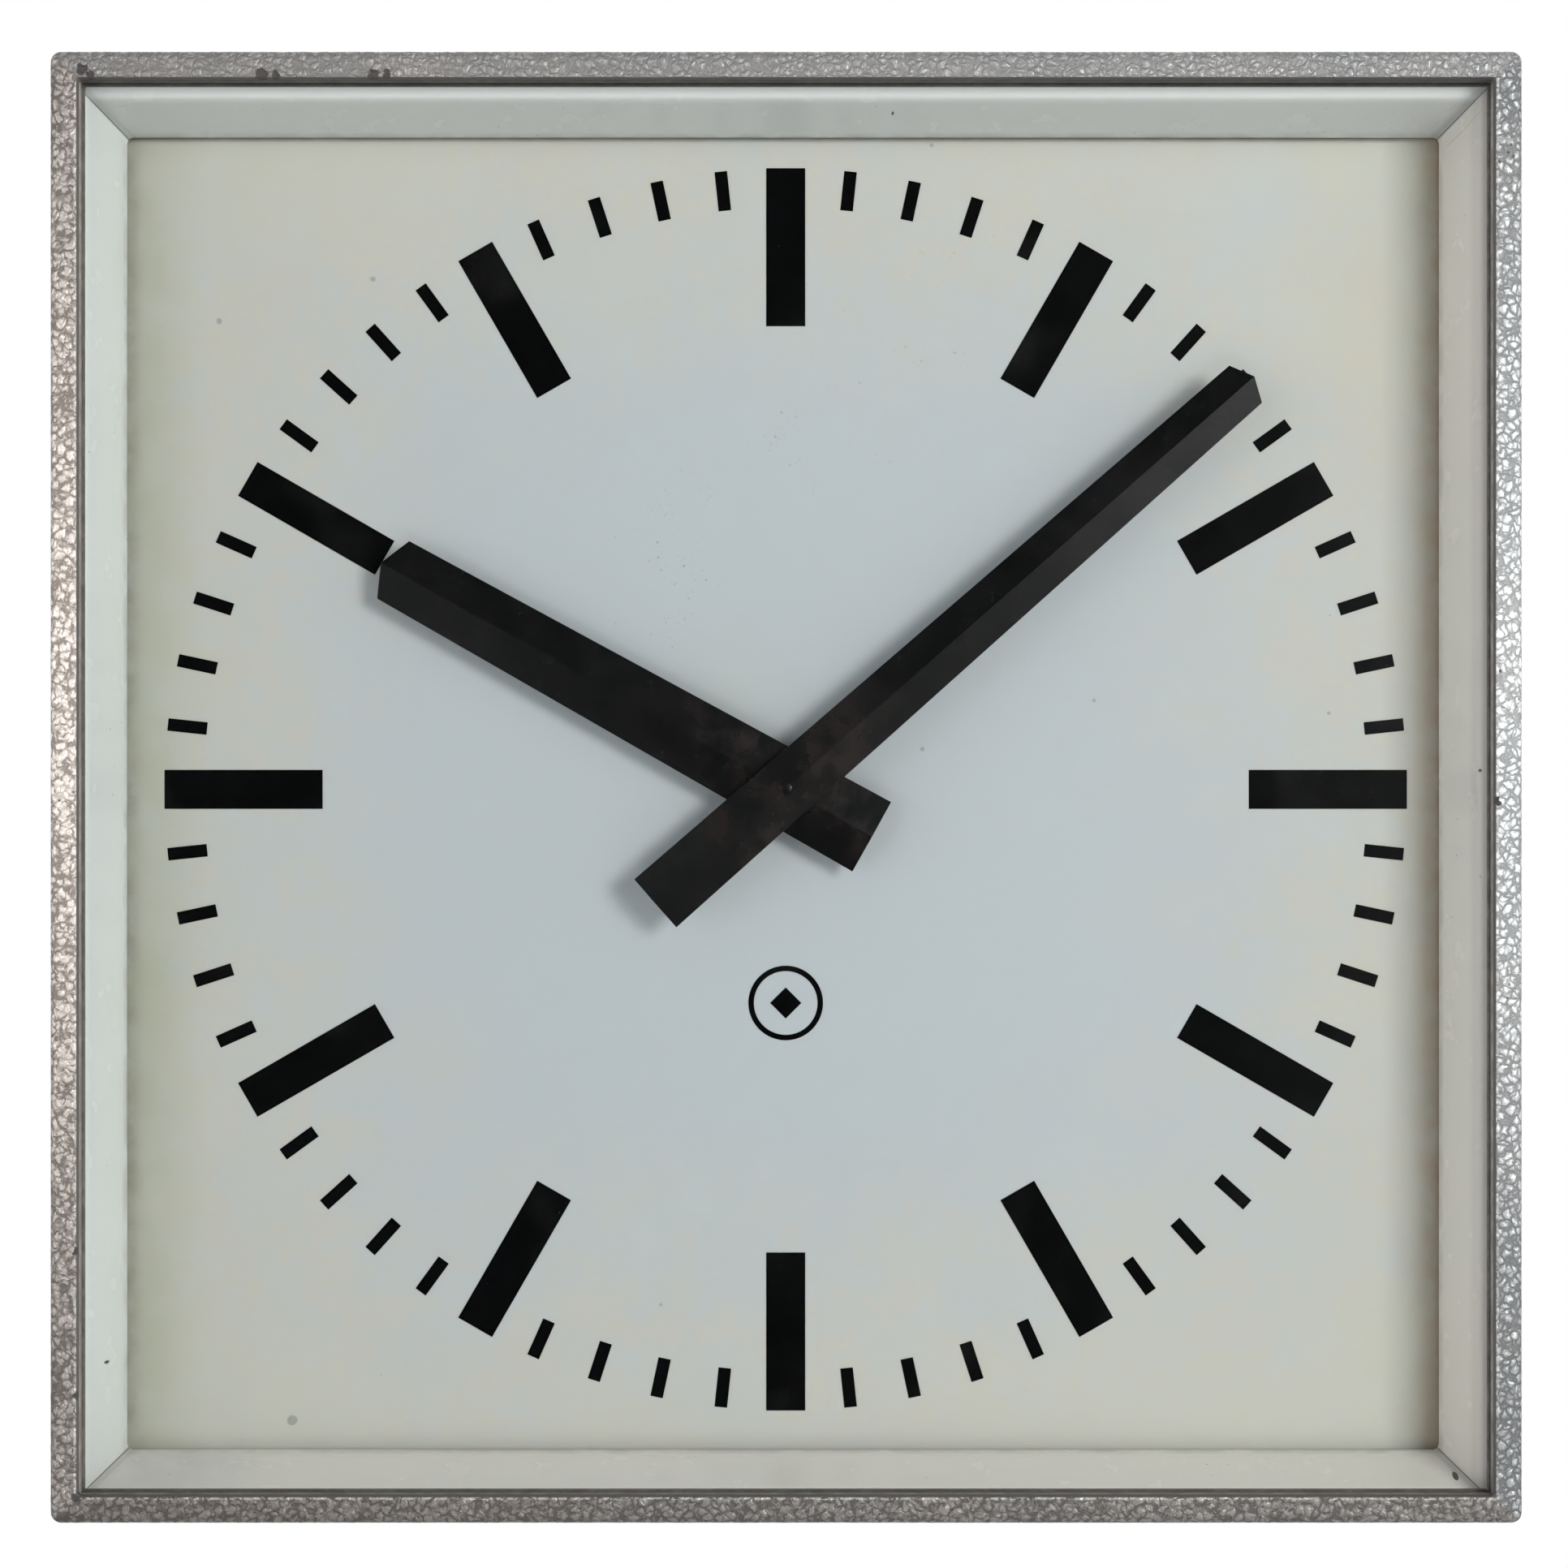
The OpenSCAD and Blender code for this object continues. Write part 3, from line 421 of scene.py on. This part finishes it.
def rubber(name, base=0.045, tint=(1, 1, 1), dusty=0.5):
    g = Graph(name)
    a = tuple(base * t for t in tint)
    b = tuple(base * 1.7 * t for t in tint)
    c = g.mix(g.noise(14, 4), a, b)
    dust = g.mul(g.step(g.noise(5, 4, 0.65), 0.35, 0.75), dusty)
    c = g.mix(dust, c, (0.155, 0.155, 0.15))
    return g.set(color=c, rough=g.lin(g.noise(3, 3), 0, 1, 0.55, 0.78), normal=g.bump(g.noise(0.6, 3), 0.03, 0.8))


def seal_rubber(name):
    g = Graph(name)
    flat, x, z = g.flat()
    top, bottom, left, right, ax, az = sides(g, x, z)
    # painted light: each side of the seal gets its own tone, darkest at the top and lightest at the left and right
    painted_side_light = g.add(g.add(g.mul(top, 0.6), g.mul(bottom, 1.15)), g.add(g.mul(left, 1.9), g.mul(right, 2.0)))
    c = g.mix(g.noise(14, 4), (0.052, 0.047, 0.043), (0.092, 0.082, 0.074))
    dust = g.mul(g.step(g.noise(5, 4, 0.65), 0.35, 0.75), 0.6)
    c = g.mix(dust, c, (0.165, 0.155, 0.142))
    c = g.mix(1.0, c, g.comb(painted_side_light, painted_side_light, painted_side_light), "MULTIPLY")
    return g.set(color=c, rough=g.lin(g.noise(3, 3), 0, 1, 0.55, 0.78), normal=g.bump(g.noise(0.6, 3), 0.03, 0.8))


def metal(name, base, rough=(0.22, 0.4), brush=None, tint=(0.3, 0.25, 0.18), stain=0.3, aniso=0.0, bump=0.01):
    """Turned or rolled metal: fine tool lines, patches of tarnish."""
    g = Graph(name)
    x, y, z = g.sep(g.pos)
    if brush == "ring":       # turned about the local +Y axis
        lines = g.noise(0.18, 2, vec=g.comb(g.mul(y, 3.0), g.mul(x, 0.05), g.mul(z, 0.05)))
    elif brush == "x":
        lines = g.noise(0.2, 3, vec=g.comb(g.mul(x, 0.04), g.mul(y, 0.6), z))
    elif brush == "z":
        lines = g.noise(0.2, 3, vec=g.comb(x, g.mul(y, 0.6), g.mul(z, 0.04)))
    else:
        lines = g.noise(0.35, 3)
    dark = tuple(0.72 * v for v in base)
    c = g.mix(lines, dark, base)
    t = g.mul(g.step(g.noise(5, 4, 0.6), 0.45, 0.8), stain)
    c = g.mix(t, c, tint)
    r = g.add(g.lin(g.noise(2.5, 3), 0, 1, rough[0], rough[1]), g.mul(t, 0.3))
    return g.set(color=c, metal=g.sub(1.0, g.mul(t, 0.5)), rough=r, normal=g.bump(lines, bump, 0.7), aniso=aniso)


def plated_steel(name):
    g = Graph(name)
    grain = g.voro(1.1, "F1", g.warp(0.3, 1.0), out="Color")
    n = g.noise(0.5, 3)
    c = g.mix(n, (0.50, 0.50, 0.48), (0.66, 0.66, 0.64))
    c = g.mix(0.12, c, grain)
    t = g.mul(g.step(g.noise(3.0, 4, 0.65), 0.5, 0.8), 0.5)
    c = g.mix(t, c, (0.30, 0.27, 0.21))
    return g.set(color=c, metal=g.sub(0.95, g.mul(t, 0.5)), rough=g.lin(g.noise(1.6, 3), 0, 1, 0.28, 0.5), normal=g.bump(n, 0.012, 0.7))


def copper(name):
    g = Graph(name)
    x, y, z = g.sep(g.pos)
    # enamelled wire in close turns along x
    turns = g.math("SINE", g.mul(g.add(x, g.mul(g.noise(6, 2), 0.12)), 2 * math.pi / 0.32))
    t01 = g.lin(turns, -1, 1)
    c = g.mix(t01, (0.17, 0.055, 0.022), (0.50, 0.19, 0.075))
    c = g.mix(g.mul(g.noise(2.2, 3), 0.4), c, (0.36, 0.12, 0.05))
    return g.set(color=c, metal=0.75, rough=g.lin(g.noise(1.0, 2), 0, 1, 0.24, 0.38), normal=g.bump(turns, 0.05, 0.9))


def plastic(name, a, b, rough=(0.36, 0.5)):
    g = Graph(name)
    c = g.mix(g.noise(7, 4), a, b)
    c = g.mix(g.mul(g.step(g.noise(1.1, 3), 0.6, 0.75), 0.3), c, tuple(0.7 * v for v in a))
    return g.set(color=c, rough=g.lin(g.noise(3, 3), 0, 1, *rough), normal=g.bump(g.noise(0.5, 3), 0.015, 0.7))


def ferrite(name):
    g = Graph(name)
    grain = g.noise(0.22, 3)
    c = g.mix(grain, (0.022, 0.022, 0.025), (0.06, 0.06, 0.065))
    return g.set(color=c, metal=0.2, rough=g.lin(g.noise(1.8, 3), 0, 1, 0.45, 0.65), normal=g.bump(grain, 0.03, 0.8))


def laminated_iron(name):
    g = Graph(name)
    x, y, z = g.sep(g.pos)
    lam = g.step(g.math("ABSOLUTE", g.sub(g.math("FRACT", g.mul(y, 1 / 0.5)), 0.5)), 0.40, 0.48)
    c = g.mix(g.noise(1.6, 4), (0.20, 0.205, 0.215), (0.31, 0.315, 0.33))
    c = g.mix(g.mul(lam, 0.6), c, (0.08, 0.075, 0.07))
    rust = g.mul(g.step(g.noise(4, 4, 0.65), 0.58, 0.75), 0.6)
    c = g.mix(rust, c, (0.20, 0.095, 0.045))
    return g.set(color=c, metal=g.sub(0.9, g.mul(rust, 0.7)), rough=g.lin(g.noise(1.4, 3), 0, 1, 0.35, 0.55),
                 normal=g.bump(g.sub(g.mul(g.noise(0.4, 2), 0.5), lam), 0.03, 0.8))


def window_glass(name):
    g = Graph(name, bsdf=False)
    t = g.t.nodes
    fres = t.new("ShaderNodeFresnel")
    fres.inputs["IOR"].default_value = 1.5
    clear = t.new("ShaderNodeBsdfTransparent")
    clear.inputs["Color"].default_value = (0.902, 0.911, 0.908, 1)
    gloss = t.new("ShaderNodeBsdfGlossy")
    gloss.inputs["Roughness"].default_value = 0.02
    gloss.inputs["Color"].default_value = (1, 1, 1, 1)
    m1 = t.new("ShaderNodeMixShader")
    g.put(m1.inputs[0], g.mul(fres.outputs[0], 0.34))
    g.put(m1.inputs[1], clear.outputs[0])
    g.put(m1.inputs[2], gloss.outputs[0])
    # a breath of dust, denser along the edges
    x, y, z = g.sep(g.pos)
    hh = g.math("MAXIMUM", g.math("ABSOLUTE", x), g.math("ABSOLUTE", z))
    smear = g.noise(30, 2, 0.6)
    edge = g.mul(g.step(hh, 190, 205), g.mul(smear, 0.05))
    dots = g.mul(g.mul(g.step(g.voro(3.4), 0.05, 0.03), g.step(smear, 0.54, 0.64)), 0.14)
    amount = g.math("ADD", g.add(edge, g.mul(g.step(smear, 0.5, 0.8), 0.005)), dots, clamp=True)
    dust = t.new("ShaderNodeBsdfDiffuse")
    dust.inputs["Color"].default_value = (0.62, 0.62, 0.60, 1)
    m2 = t.new("ShaderNodeMixShader")
    g.put(m2.inputs[0], amount)
    g.put(m2.inputs[1], m1.outputs[0])
    g.put(m2.inputs[2], dust.outputs[0])
    g.put(g.out.inputs[0], m2.outputs[0])
    return g.m


def paint(o, mat):
    if not o.material_slots:
        o.data.materials.append(mat)
    for s in o.material_slots:
        s.material = mat


SUR_X, SUR_Z = -0.8, -1.3
M = {
    "hammer": hammer_paint("hammer_paint"),
    "back": back_paint("back_paint"),
    "enamel": enamel("white_enamel", SUR_X, SUR_Z),
    "dial": dial_paint("dial_paint"),
    "print": print_black("dial_print"),
    "hand": hand_black("hand_black"),
    "seal": seal_rubber("seal_rubber"),
    "grommet": rubber("grommet_rubber", 0.03, (1, 1, 1), 0.3),
    "steel": plated_steel("zinc_steel"),
    "brass": metal("movement_brass", (0.60, 0.43, 0.17), (0.22, 0.38), None, (0.26, 0.15, 0.06), 0.45),
    "plate": metal("movement_plate", (0.63, 0.47, 0.21), (0.26, 0.42), "x", (0.28, 0.17, 0.07), 0.4, aniso=0.4),
    "arbor": metal("arbor_steel", (0.55, 0.56, 0.58), (0.12, 0.26), "ring", (0.25, 0.21, 0.16), 0.25),
    "blued": metal("blued_steel", (0.16, 0.19, 0.30), (0.2, 0.34), None, (0.12, 0.08, 0.1), 0.4),
    "iron": laminated_iron("core_iron"),
    "magnet": ferrite("magnet_ferrite"),
    "copper": copper("coil_copper"),
    "bobbin": plastic("bobbin_plastic", (0.50, 0.38, 0.19), (0.42, 0.30, 0.14)),
    "terminal": plastic("terminal_plastic", (0.52, 0.49, 0.38), (0.45, 0.42, 0.32)),
    "lead": plastic("lead_insulation", (0.24, 0.025, 0.02), (0.17, 0.016, 0.014), (0.4, 0.55)),
    "glass": window_glass("window_glass"),
}

# ---------------------------------------------------------------- mesh tools


def sweep(profile, n_st, n_arc, ox=0.0, oy=0.0, edit=None):
    """Sweeps a closed profile of (half width, depth, plan radius, relief) round the square. Returns verts and quads, in mm, with z towards the viewer."""
    P = len(profile)
    N = 4 * (n_st + n_arc)
    pts = np.zeros((P, N, 3))
    nrm = np.zeros((P, N, 3))
    for j, (h, z, rc, w) in enumerate(profile):
        h0, z0 = profile[j - 1][:2]
        h1, z1 = profile[(j + 1) % P][:2]
        th, tz = h1 - h0, z1 - z0
        L = math.hypot(th, tz) or 1.0
        nh, nz = tz / L, -th / L
        t = np.arange(n_st) / n_st
        sx = np.full(n_st, h)
        sy = -(h - rc) + 2 * (h - rc) * t
        dx, dy = np.ones(n_st), np.zeros(n_st)
        a = np.arange(n_arc) / n_arc * math.pi / 2
        ax, ay = h - rc + rc * np.cos(a), h - rc + rc * np.sin(a)
        X, Y = np.concatenate([sx, ax]), np.concatenate([sy, ay])
        DX, DY = np.concatenate([dx, np.cos(a)]), np.concatenate([dy, np.sin(a)])
        k = n_st + n_arc
        for s in range(4):
            c, q = round(math.cos(s * math.pi / 2)), round(math.sin(s * math.pi / 2))
            sl = slice(s * k, (s + 1) * k)
            pts[j, sl, 0], pts[j, sl, 1], pts[j, sl, 2] = c * X - q * Y, q * X + c * Y, z
            nrm[j, sl, 0], nrm[j, sl, 1], nrm[j, sl, 2] = (c * DX - q * DY) * nh, (q * DX + c * DY) * nh, nz
    weight = np.array([p[3] for p in profile])[:, None]
    if edit is not None:
        pts = pts + nrm * (edit(pts) * weight)[..., None]
    pts[..., 0] += ox
    pts[..., 1] += oy
    idx = np.arange(P * N).reshape(P, N)
    a = idx
    b = np.roll(idx, -1, axis=1)
    c = np.roll(b, -1, axis=0)
    d = np.roll(a, -1, axis=0)
    quads = np.stack([a, b, c, d], -1).reshape(-1, 4)
    return pts.reshape(-1, 3), quads


def to_row(v):
    """mm with z towards the viewer -> metres in the row frame."""
    v = np.asarray(v, float)
    return np.stack([v[:, 0], -v[:, 2], v[:, 1]], 1) * 0.001


def new_piece(name, verts_mm, faces, mat, body, replaces=(), smooth=None):
    me = bpy.data.meshes.new(name)
    me.from_pydata(to_row(verts_mm).tolist(), [], [list(map(int, f)) for f in faces])
    bm = bmesh.new()
    bm.from_mesh(me)
    bmesh.ops.recalc_face_normals(bm, faces=bm.faces)
    bm.to_mesh(me)
    bm.free()
    finish_mesh(me, smooth)
    me.materials.append(mat)
    o = bpy.data.objects.new(name, me)
    col.objects.link(o)
    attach(o, body)
    if replaces:
        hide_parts(*replaces)
    return o


def finish_mesh(me, smooth):
    if smooth is None:
        return
    for p in me.polygons:
        p.use_smooth = True
    if smooth < 180:
        me.set_sharp_from_angle(angle=math.radians(smooth))


def refined(node, name, mat, body, width, seg=2, angle=28.0, smooth=40.0):
    """A copy of a CAD node's shape with its seams welded, flats cleaned and hard edges broken."""
    src = nodes[node]
    me = src.data.copy()
    me.name = name
    bm = bmesh.new()
    bm.from_mesh(me)
    bmesh.ops.remove_doubles(bm, verts=bm.verts, dist=2e-6)
    bmesh.ops.dissolve_degenerate(bm, edges=bm.edges, dist=1e-6)
    bmesh.ops.dissolve_limit(bm, angle_limit=math.radians(0.8), verts=bm.verts, edges=bm.edges)
    bmesh.ops.recalc_face_normals(bm, faces=bm.faces)
    if width:
        sharp = [e for e in bm.edges if len(e.link_faces) == 2 and e.calc_face_angle(0.0) > math.radians(angle)]
        bmesh.ops.bevel(bm, geom=sharp, offset=width * 0.001, offset_type="OFFSET", segments=seg, profile=0.5,
                        affect="EDGES", clamp_overlap=True, loop_slide=True)
    bmesh.ops.triangulate(bm, faces=[f for f in bm.faces if len(f.verts) > 4])
    bmesh.ops.dissolve_degenerate(bm, edges=bm.edges, dist=1e-7)
    bm.to_mesh(me)
    bm.free()
    for nm in ("custom_normal", "sharp_face"):
        at = me.attributes.get(nm)
        if at is not None:
            me.attributes.remove(at)
    finish_mesh(me, smooth)
    me.materials.clear()
    me.materials.append(mat)
    o = bpy.data.objects.new(name, me)
    col.objects.link(o)
    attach(o, body)
    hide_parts(node)
    return o


# ---------------------------------------------------------------- the case's front frame

HALF, LIP_IN, IN = 210.0, 202.0, 208.5


def hammer_relief(pts):
    """Shallow pebbled relief of a hammer finish, in mm along the normal."""
    flat = pts.reshape(-1, 3)
    out = np.zeros(len(flat))
    for i, (x, y, z) in enumerate(flat):
        p = Vector((x, y, z))
        q = p + noise.noise_vector(p * 0.32) * 0.9
        d = noise.voronoi(q * 0.37)[0]
        e = min((d[1] - d[0]) / 0.45, 1.0)
        out[i] = 0.05 * (e * e * (3 - 2 * e) - 0.75) + 0.03 * noise.noise(q * 0.13)
        if abs(x) > 205 and z < 50:      # flat ground round the four side screws
            r = math.hypot(abs(y) - 140.0, z - 42.0)
            k = min(max((r - 5.0) / 2.5, 0.0), 1.0)
            out[i] = k * out[i] - (1 - k) * 0.10
    return out.reshape(pts.shape[:-1])


def frame_profile():
    p = [(209.0, 38.0, 2.0, 0.0), (209.75, 38.0, 2.7, 0.0), (210.0, 38.25, 3.0, 0.0)]
    for z in np.linspace(39.0, 76.6, 29):
        p.append((HALF, float(z), 3.0, 1.0))
    for k in range(0, 7):
        a = math.radians(90 * k / 6)
        p.append((HALF - 3 + 3 * math.cos(a), 77 + 3 * math.sin(a) * 1.0, max(0.9, 3 * math.cos(a) ** 0.5) if k < 6 else 0.9, 1.0))
    for h in (206.25, 205.5, 204.8, 204.15):
        p.append((h, 80.0, 0.7, 1.0))
    # the inner edge rolls over softly
    p += [(203.62, 79.99, 0.6, 1.0), (203.2, 79.97, 0.6, 0.9), (202.85, 79.94, 0.6, 0.7), (202.6, 79.9, 0.6, 0.5), (202.4, 79.82, 0.6, 0.4),
          (202.22, 79.7, 0.6, 0.3), (202.08, 79.5, 1.0, 0.2), (202.0, 79.0, 1.1, 0.0), (202.0, 77.05, 1.1, 0.0)]
    p += [(202.4, 77.0, 0.6, 0.0), (IN, 77.0, 1.5, 0.0), (IN, 60.0, 1.5, 0.0), (IN, 38.2, 1.5, 0.0)]
    return p


verts, quads = sweep(frame_profile(), 392, 8, edit=hammer_relief)
front = new_piece("front_frame_shell", verts, quads, M["hammer"], "case", ["front_frame"], smooth=180)


def countersinks(o):
    """Cuts the four countersunk screw seats through the side walls."""
    bm = bmesh.new()
    for s in (-1, 1):
        for zz in (-140.0, 140.0):
            rings = []
            for xr, r in ((205.0, 2.2), (208.5, 2.2), (210.35, 4.05)):
                ring = []
                for k in range(32):
                    a = 2 * math.pi * k / 32
                    v = np.array([[s * xr, zz + r * math.cos(a), 42 + r * math.sin(a)]])
                    ring.append(bm.verts.new(to_row(v)[0]))
                rings.append(ring)
            for r0, r1 in zip(rings, rings[1:]):
                for k in range(32):
                    bm.faces.new((r0[k], r0[(k + 1) % 32], r1[(k + 1) % 32], r1[k]))
            bm.faces.new(rings[0])
            bm.faces.new(rings[-1])
    bmesh.ops.recalc_face_normals(bm, faces=bm.faces)
    me = bpy.data.meshes.new("cutters")
    bm.to_mesh(me)
    bm.free()
    c = bpy.data.objects.new("cutters", me)
    col.objects.link(c)
    md = o.modifiers.new("seats", "BOOLEAN")
    md.operation = "DIFFERENCE"
    md.solver = "EXACT"
    md.object = c
    bpy.context.view_layer.update()
    dg = bpy.context.evaluated_depsgraph_get()
    cut = bpy.data.meshes.new_from_object(o.evaluated_get(dg))
    o.modifiers.clear()
    if len(cut.polygons) > 1000:
        o.data = cut
        for p in o.data.polygons:
            p.use_smooth = True
        o.data.set_sharp_from_angle(angle=math.radians(48))
        if not o.data.materials:
            o.data.materials.append(M["hammer"])
        for p in o.data.polygons:
            p.material_index = 0
    bpy.data.objects.remove(c)


countersinks(front)

# ---------------------------------------------------------------- the white surround


def surround_profile():
    p = []
    p += [(193.75, 50.5, 2.0, 0.0), (193.1, 50.5, 2.0, 0.0), (192.86, 50.62, 2.0, 0.0)]
    n = 22
    for k in range(n + 1):
        t = k / n
        p.append((192.8 + 7.0 * t, 50.8 + 17.6 * t, 2.0 - 1.2 * t, 1.0))
    # fold of about 2 mm radius into the flange
    p += [(199.95, 68.75, 0.8, 0.6), (200.18, 69.12, 0.75, 0.4), (200.5, 69.45, 0.7, 0.2), (200.9, 69.71, 0.7, 0.0), (201.4, 69.9, 0.6, 0.0),
          (202.0, 70.0, 0.6, 0.0), (205.5, 70.0, 0.5, 0.0), (205.7, 69.8, 0.5, 0.0), (205.7, 69.0, 0.5, 0.0), (205.5, 68.8, 0.5, 0.0),
          (202.1, 68.8, 0.6, 0.0), (201.35, 68.45, 0.8, 0.0), (200.85, 67.8, 0.9, 0.0), (197.6, 59.6, 1.4, 0.0), (193.95, 50.75, 2.0, 0.0)]
    return p


def surround_wave(pts):
    flat = pts.reshape(-1, 3)
    out = np.zeros(len(flat))
    for i, (x, y, z) in enumerate(flat):
        ax, ay = abs(x), abs(y)
        d = abs(ax - ay)
        seam = -0.28 * max(0.0, 1 - d / 0.32) if d < 0.32 else 0.0
        out[i] = seam + 0.05 * noise.noise(Vector((x * 0.011, y * 0.011, z * 0.03 + 4.0)))
    return out.reshape(pts.shape[:-1])


# the visible face points inwards, so the profile runs the other way round
prof = surround_profile()[::-1]
verts, quads = sweep(prof, 150, 8, ox=SUR_X, oy=SUR_Z, edit=surround_wave)
surround = new_piece("surround_shell", verts, quads, M["enamel"], "case", ["reflector_frame"], smooth=42)

# ---------------------------------------------------------------- refined copies of the other pieces that show

refined("hour_hand", "hour_hand_sheet", M["hand"], "hour", 0.14, smooth=12.0)
refined("minute_hand", "minute_hand_sheet", M["hand"], "minute", 0.14, smooth=12.0)
refined("hour_collet", "hour_boss", M["hand"], "hour", 0.25)
refined("minute_collet", "minute_boss", M["hand"], "minute", 0.2)
refined("back_case", "back_tray", M["back"], "case", 0.45, seg=3)
refined("cable_grommet", "cable_bush", M["grommet"], "case", 0.45, seg=3)
refined("frame_screws", "side_screws", M["steel"], "case", 0.08, seg=1)

# ---------------------------------------------------------------- the CAD pieces that keep their shape

KEEP = {
    "glass": "glass", "glass_seal": "seal", "clip_studs": "steel", "retaining_clips": "steel", "clip_nuts": "steel", "frame_nuts": "steel",
    "dial_plate": "dial", "dial_hour_marks": "print", "dial_minute_marks": "print", "dial_emblem": "print", "dial_screws": "steel",
    "dial_nuts": "steel", "earth_screw": "brass", "terminal_block": "terminal", "terminal_screws": "brass", "coil_leads": "lead",
    "movement_standoffs": "steel", "movement_screws": "steel", "movement_back_plate": "plate", "movement_front_plate": "plate",
    "movement_pillars": "brass", "plate_screws": "blued", "arbor_bushes": "brass", "coil_core": "iron", "coil_bobbin": "bobbin",
    "coil_winding": "copper", "stator_poles": "iron", "stator_spacers": "brass", "stator_screws": "steel", "rotor_arbor": "arbor",
    "rotor_magnet": "magnet", "rotor_pinion": "brass", "intermediate_arbor": "arbor", "intermediate_wheel": "brass",
    "intermediate_pinion": "brass", "centre_arbor": "arbor", "centre_wheel": "brass", "cannon_pinion": "brass", "motion_stud": "arbor",
    "stud_clip": "blued", "minute_wheel": "brass", "hour_wheel": "brass",
}
for n, k in KEEP.items():
    paint(nodes[n], M[k])

# ---------------------------------------------------------------- studio

s = bpy.context.scene
s.view_settings.view_transform = "Standard"
s.view_settings.look = "None"
s.view_settings.exposure = 0.0
s.view_settings.gamma = 1.0

w = bpy.data.worlds.new("studio")
s.world = w
w.use_nodes = True
t = w.node_tree
t.nodes.clear()


def wn(kind, **k):
    n = t.nodes.new(kind)
    for a, v in k.items():
        setattr(n, a, v)
    return n


def wm(op, a, b=None, clamp=False):
    n = wn("ShaderNodeMath", operation=op, use_clamp=clamp)
    for i, v in enumerate((a, b)):
        if isinstance(v, bpy.types.NodeSocket):
            t.links.new(v, n.inputs[i])
        elif v is not None:
            n.inputs[i].default_value = v
    return n.outputs[0]


def wstep(v, a, b, lo=0.0, hi=1.0):
    n = wn("ShaderNodeMapRange", interpolation_type="SMOOTHSTEP")
    t.links.new(v, n.inputs["Value"])
    for k, x in (("From Min", a), ("From Max", b), ("To Min", lo), ("To Max", hi)):
        n.inputs[k].default_value = x
    return n.outputs[0]


def wmix(f, a, b):
    n = wn("ShaderNodeMix", data_type="RGBA")
    t.links.new(f, n.inputs[0])
    for i, v in ((6, a), (7, b)):
        if isinstance(v, bpy.types.NodeSocket):
            t.links.new(v, n.inputs[i])
        else:
            n.inputs[i].default_value = (*v, 1.0)
    return n.outputs[2]


ENV = 0.93
tc = wn("ShaderNodeTexCoord")
sp = wn("ShaderNodeSeparateXYZ")
t.links.new(tc.outputs["Generated"], sp.inputs[0])
dx, dy, dz = sp.outputs
front_side = wstep(dy, 0.25, -0.35)
horizon = wstep(wm("ABSOLUTE", dz), 0.62, 0.16)
rightness = wstep(dx, 0.13, 0.46)
leftness = wstep(dx, -0.20, -0.52)
sky = wmix(wstep(dz, -0.5, 0.6), (0.95, 0.93, 0.90), (0.93, 0.97, 1.0))
lobes = wm("MULTIPLY", wm("MULTIPLY", front_side, horizon), wm("ADD", wm("MULTIPLY", rightness, 1.35), wm("MULTIPLY", leftness, 2.3)))
core = wstep(dy, -0.62, -0.93, 1.0, 0.012)   # what the glass and the hands mirror straight in front is unlit
lum = wm("ADD", wm("MULTIPLY", core, 0.52), lobes)
bg = wn("ShaderNodeBackground")
t.links.new(sky, bg.inputs["Color"])
t.links.new(wm("MULTIPLY", lum, ENV), bg.inputs["Strength"])
white = wn("ShaderNodeBackground")
white.inputs["Color"].default_value = (1, 1, 1, 1)
lp = wn("ShaderNodeLightPath")
mx = wn("ShaderNodeMixShader")
t.links.new(lp.outputs["Is Camera Ray"], mx.inputs[0])
t.links.new(bg.outputs[0], mx.inputs[1])
t.links.new(white.outputs[0], mx.inputs[2])
wo = wn("ShaderNodeOutputWorld")
t.links.new(mx.outputs[0], wo.inputs[0])


def softbox(name, loc, size, power, colour, aim=(0, -0.05, 0)):
    li = bpy.data.lights.new(name, "AREA")
    li.shape = "RECTANGLE"
    li.size, li.size_y = size
    li.energy = power
    li.color = colour
    o = bpy.data.objects.new(name, li)
    o.location = loc
    o.rotation_euler = (Vector(aim) - Vector(loc)).to_track_quat("-Z", "Y").to_euler()
    col.objects.link(o)
    return o


softbox("key", (1.84, -2.80, 0.49), (1.0, 1.1), 79.0, (1.0, 0.985, 0.955))
low_fill = softbox("low_fill", (0.10, -2.50, -1.06), (0.9, 0.5), 8.8, (0.97, 0.98, 1.0))
low_fill.visible_glossy = False
softbox("top_back", (0.0, 1.4, 1.5), (1.6, 1.2), 14.0, (1.0, 1.0, 1.0), (0, 0.1, 0))

fm = Graph("floor_paper")
fc = fm.mix(fm.noise(300, 3), (0.80, 0.80, 0.795), (0.83, 0.83, 0.825))
fm.set(color=fc, rough=0.85, normal=fm.bump(fm.noise(6, 3), 0.2, 0.3))
bm = bmesh.new()
bmesh.ops.create_grid(bm, x_segments=24, y_segments=24, size=1.5)
me = bpy.data.meshes.new("floor")
bm.to_mesh(me)
bm.free()
me.materials.append(fm.m)
floor = bpy.data.objects.new("floor", me)
floor.location = (0, 0, -0.75)
col.objects.link(floor)

cam = bpy.data.cameras.new("camera")
cam.sensor_width = 36.0
cam.lens = 72.58
cam.shift_x = 0.0069
cam.shift_y = 0.0443
cam.clip_start = 0.01
cam.clip_end = 50
co = bpy.data.objects.new("camera", cam)
co.location = (-0.0037, -0.980, -0.0189)
co.rotation_euler = (math.pi / 2, 0, 0)
col.objects.link(co)
s.camera = co
s.cycles.max_bounces = 6
s.cycles.diffuse_bounces = 2
s.cycles.glossy_bounces = 2
s.cycles.transmission_bounces = 2
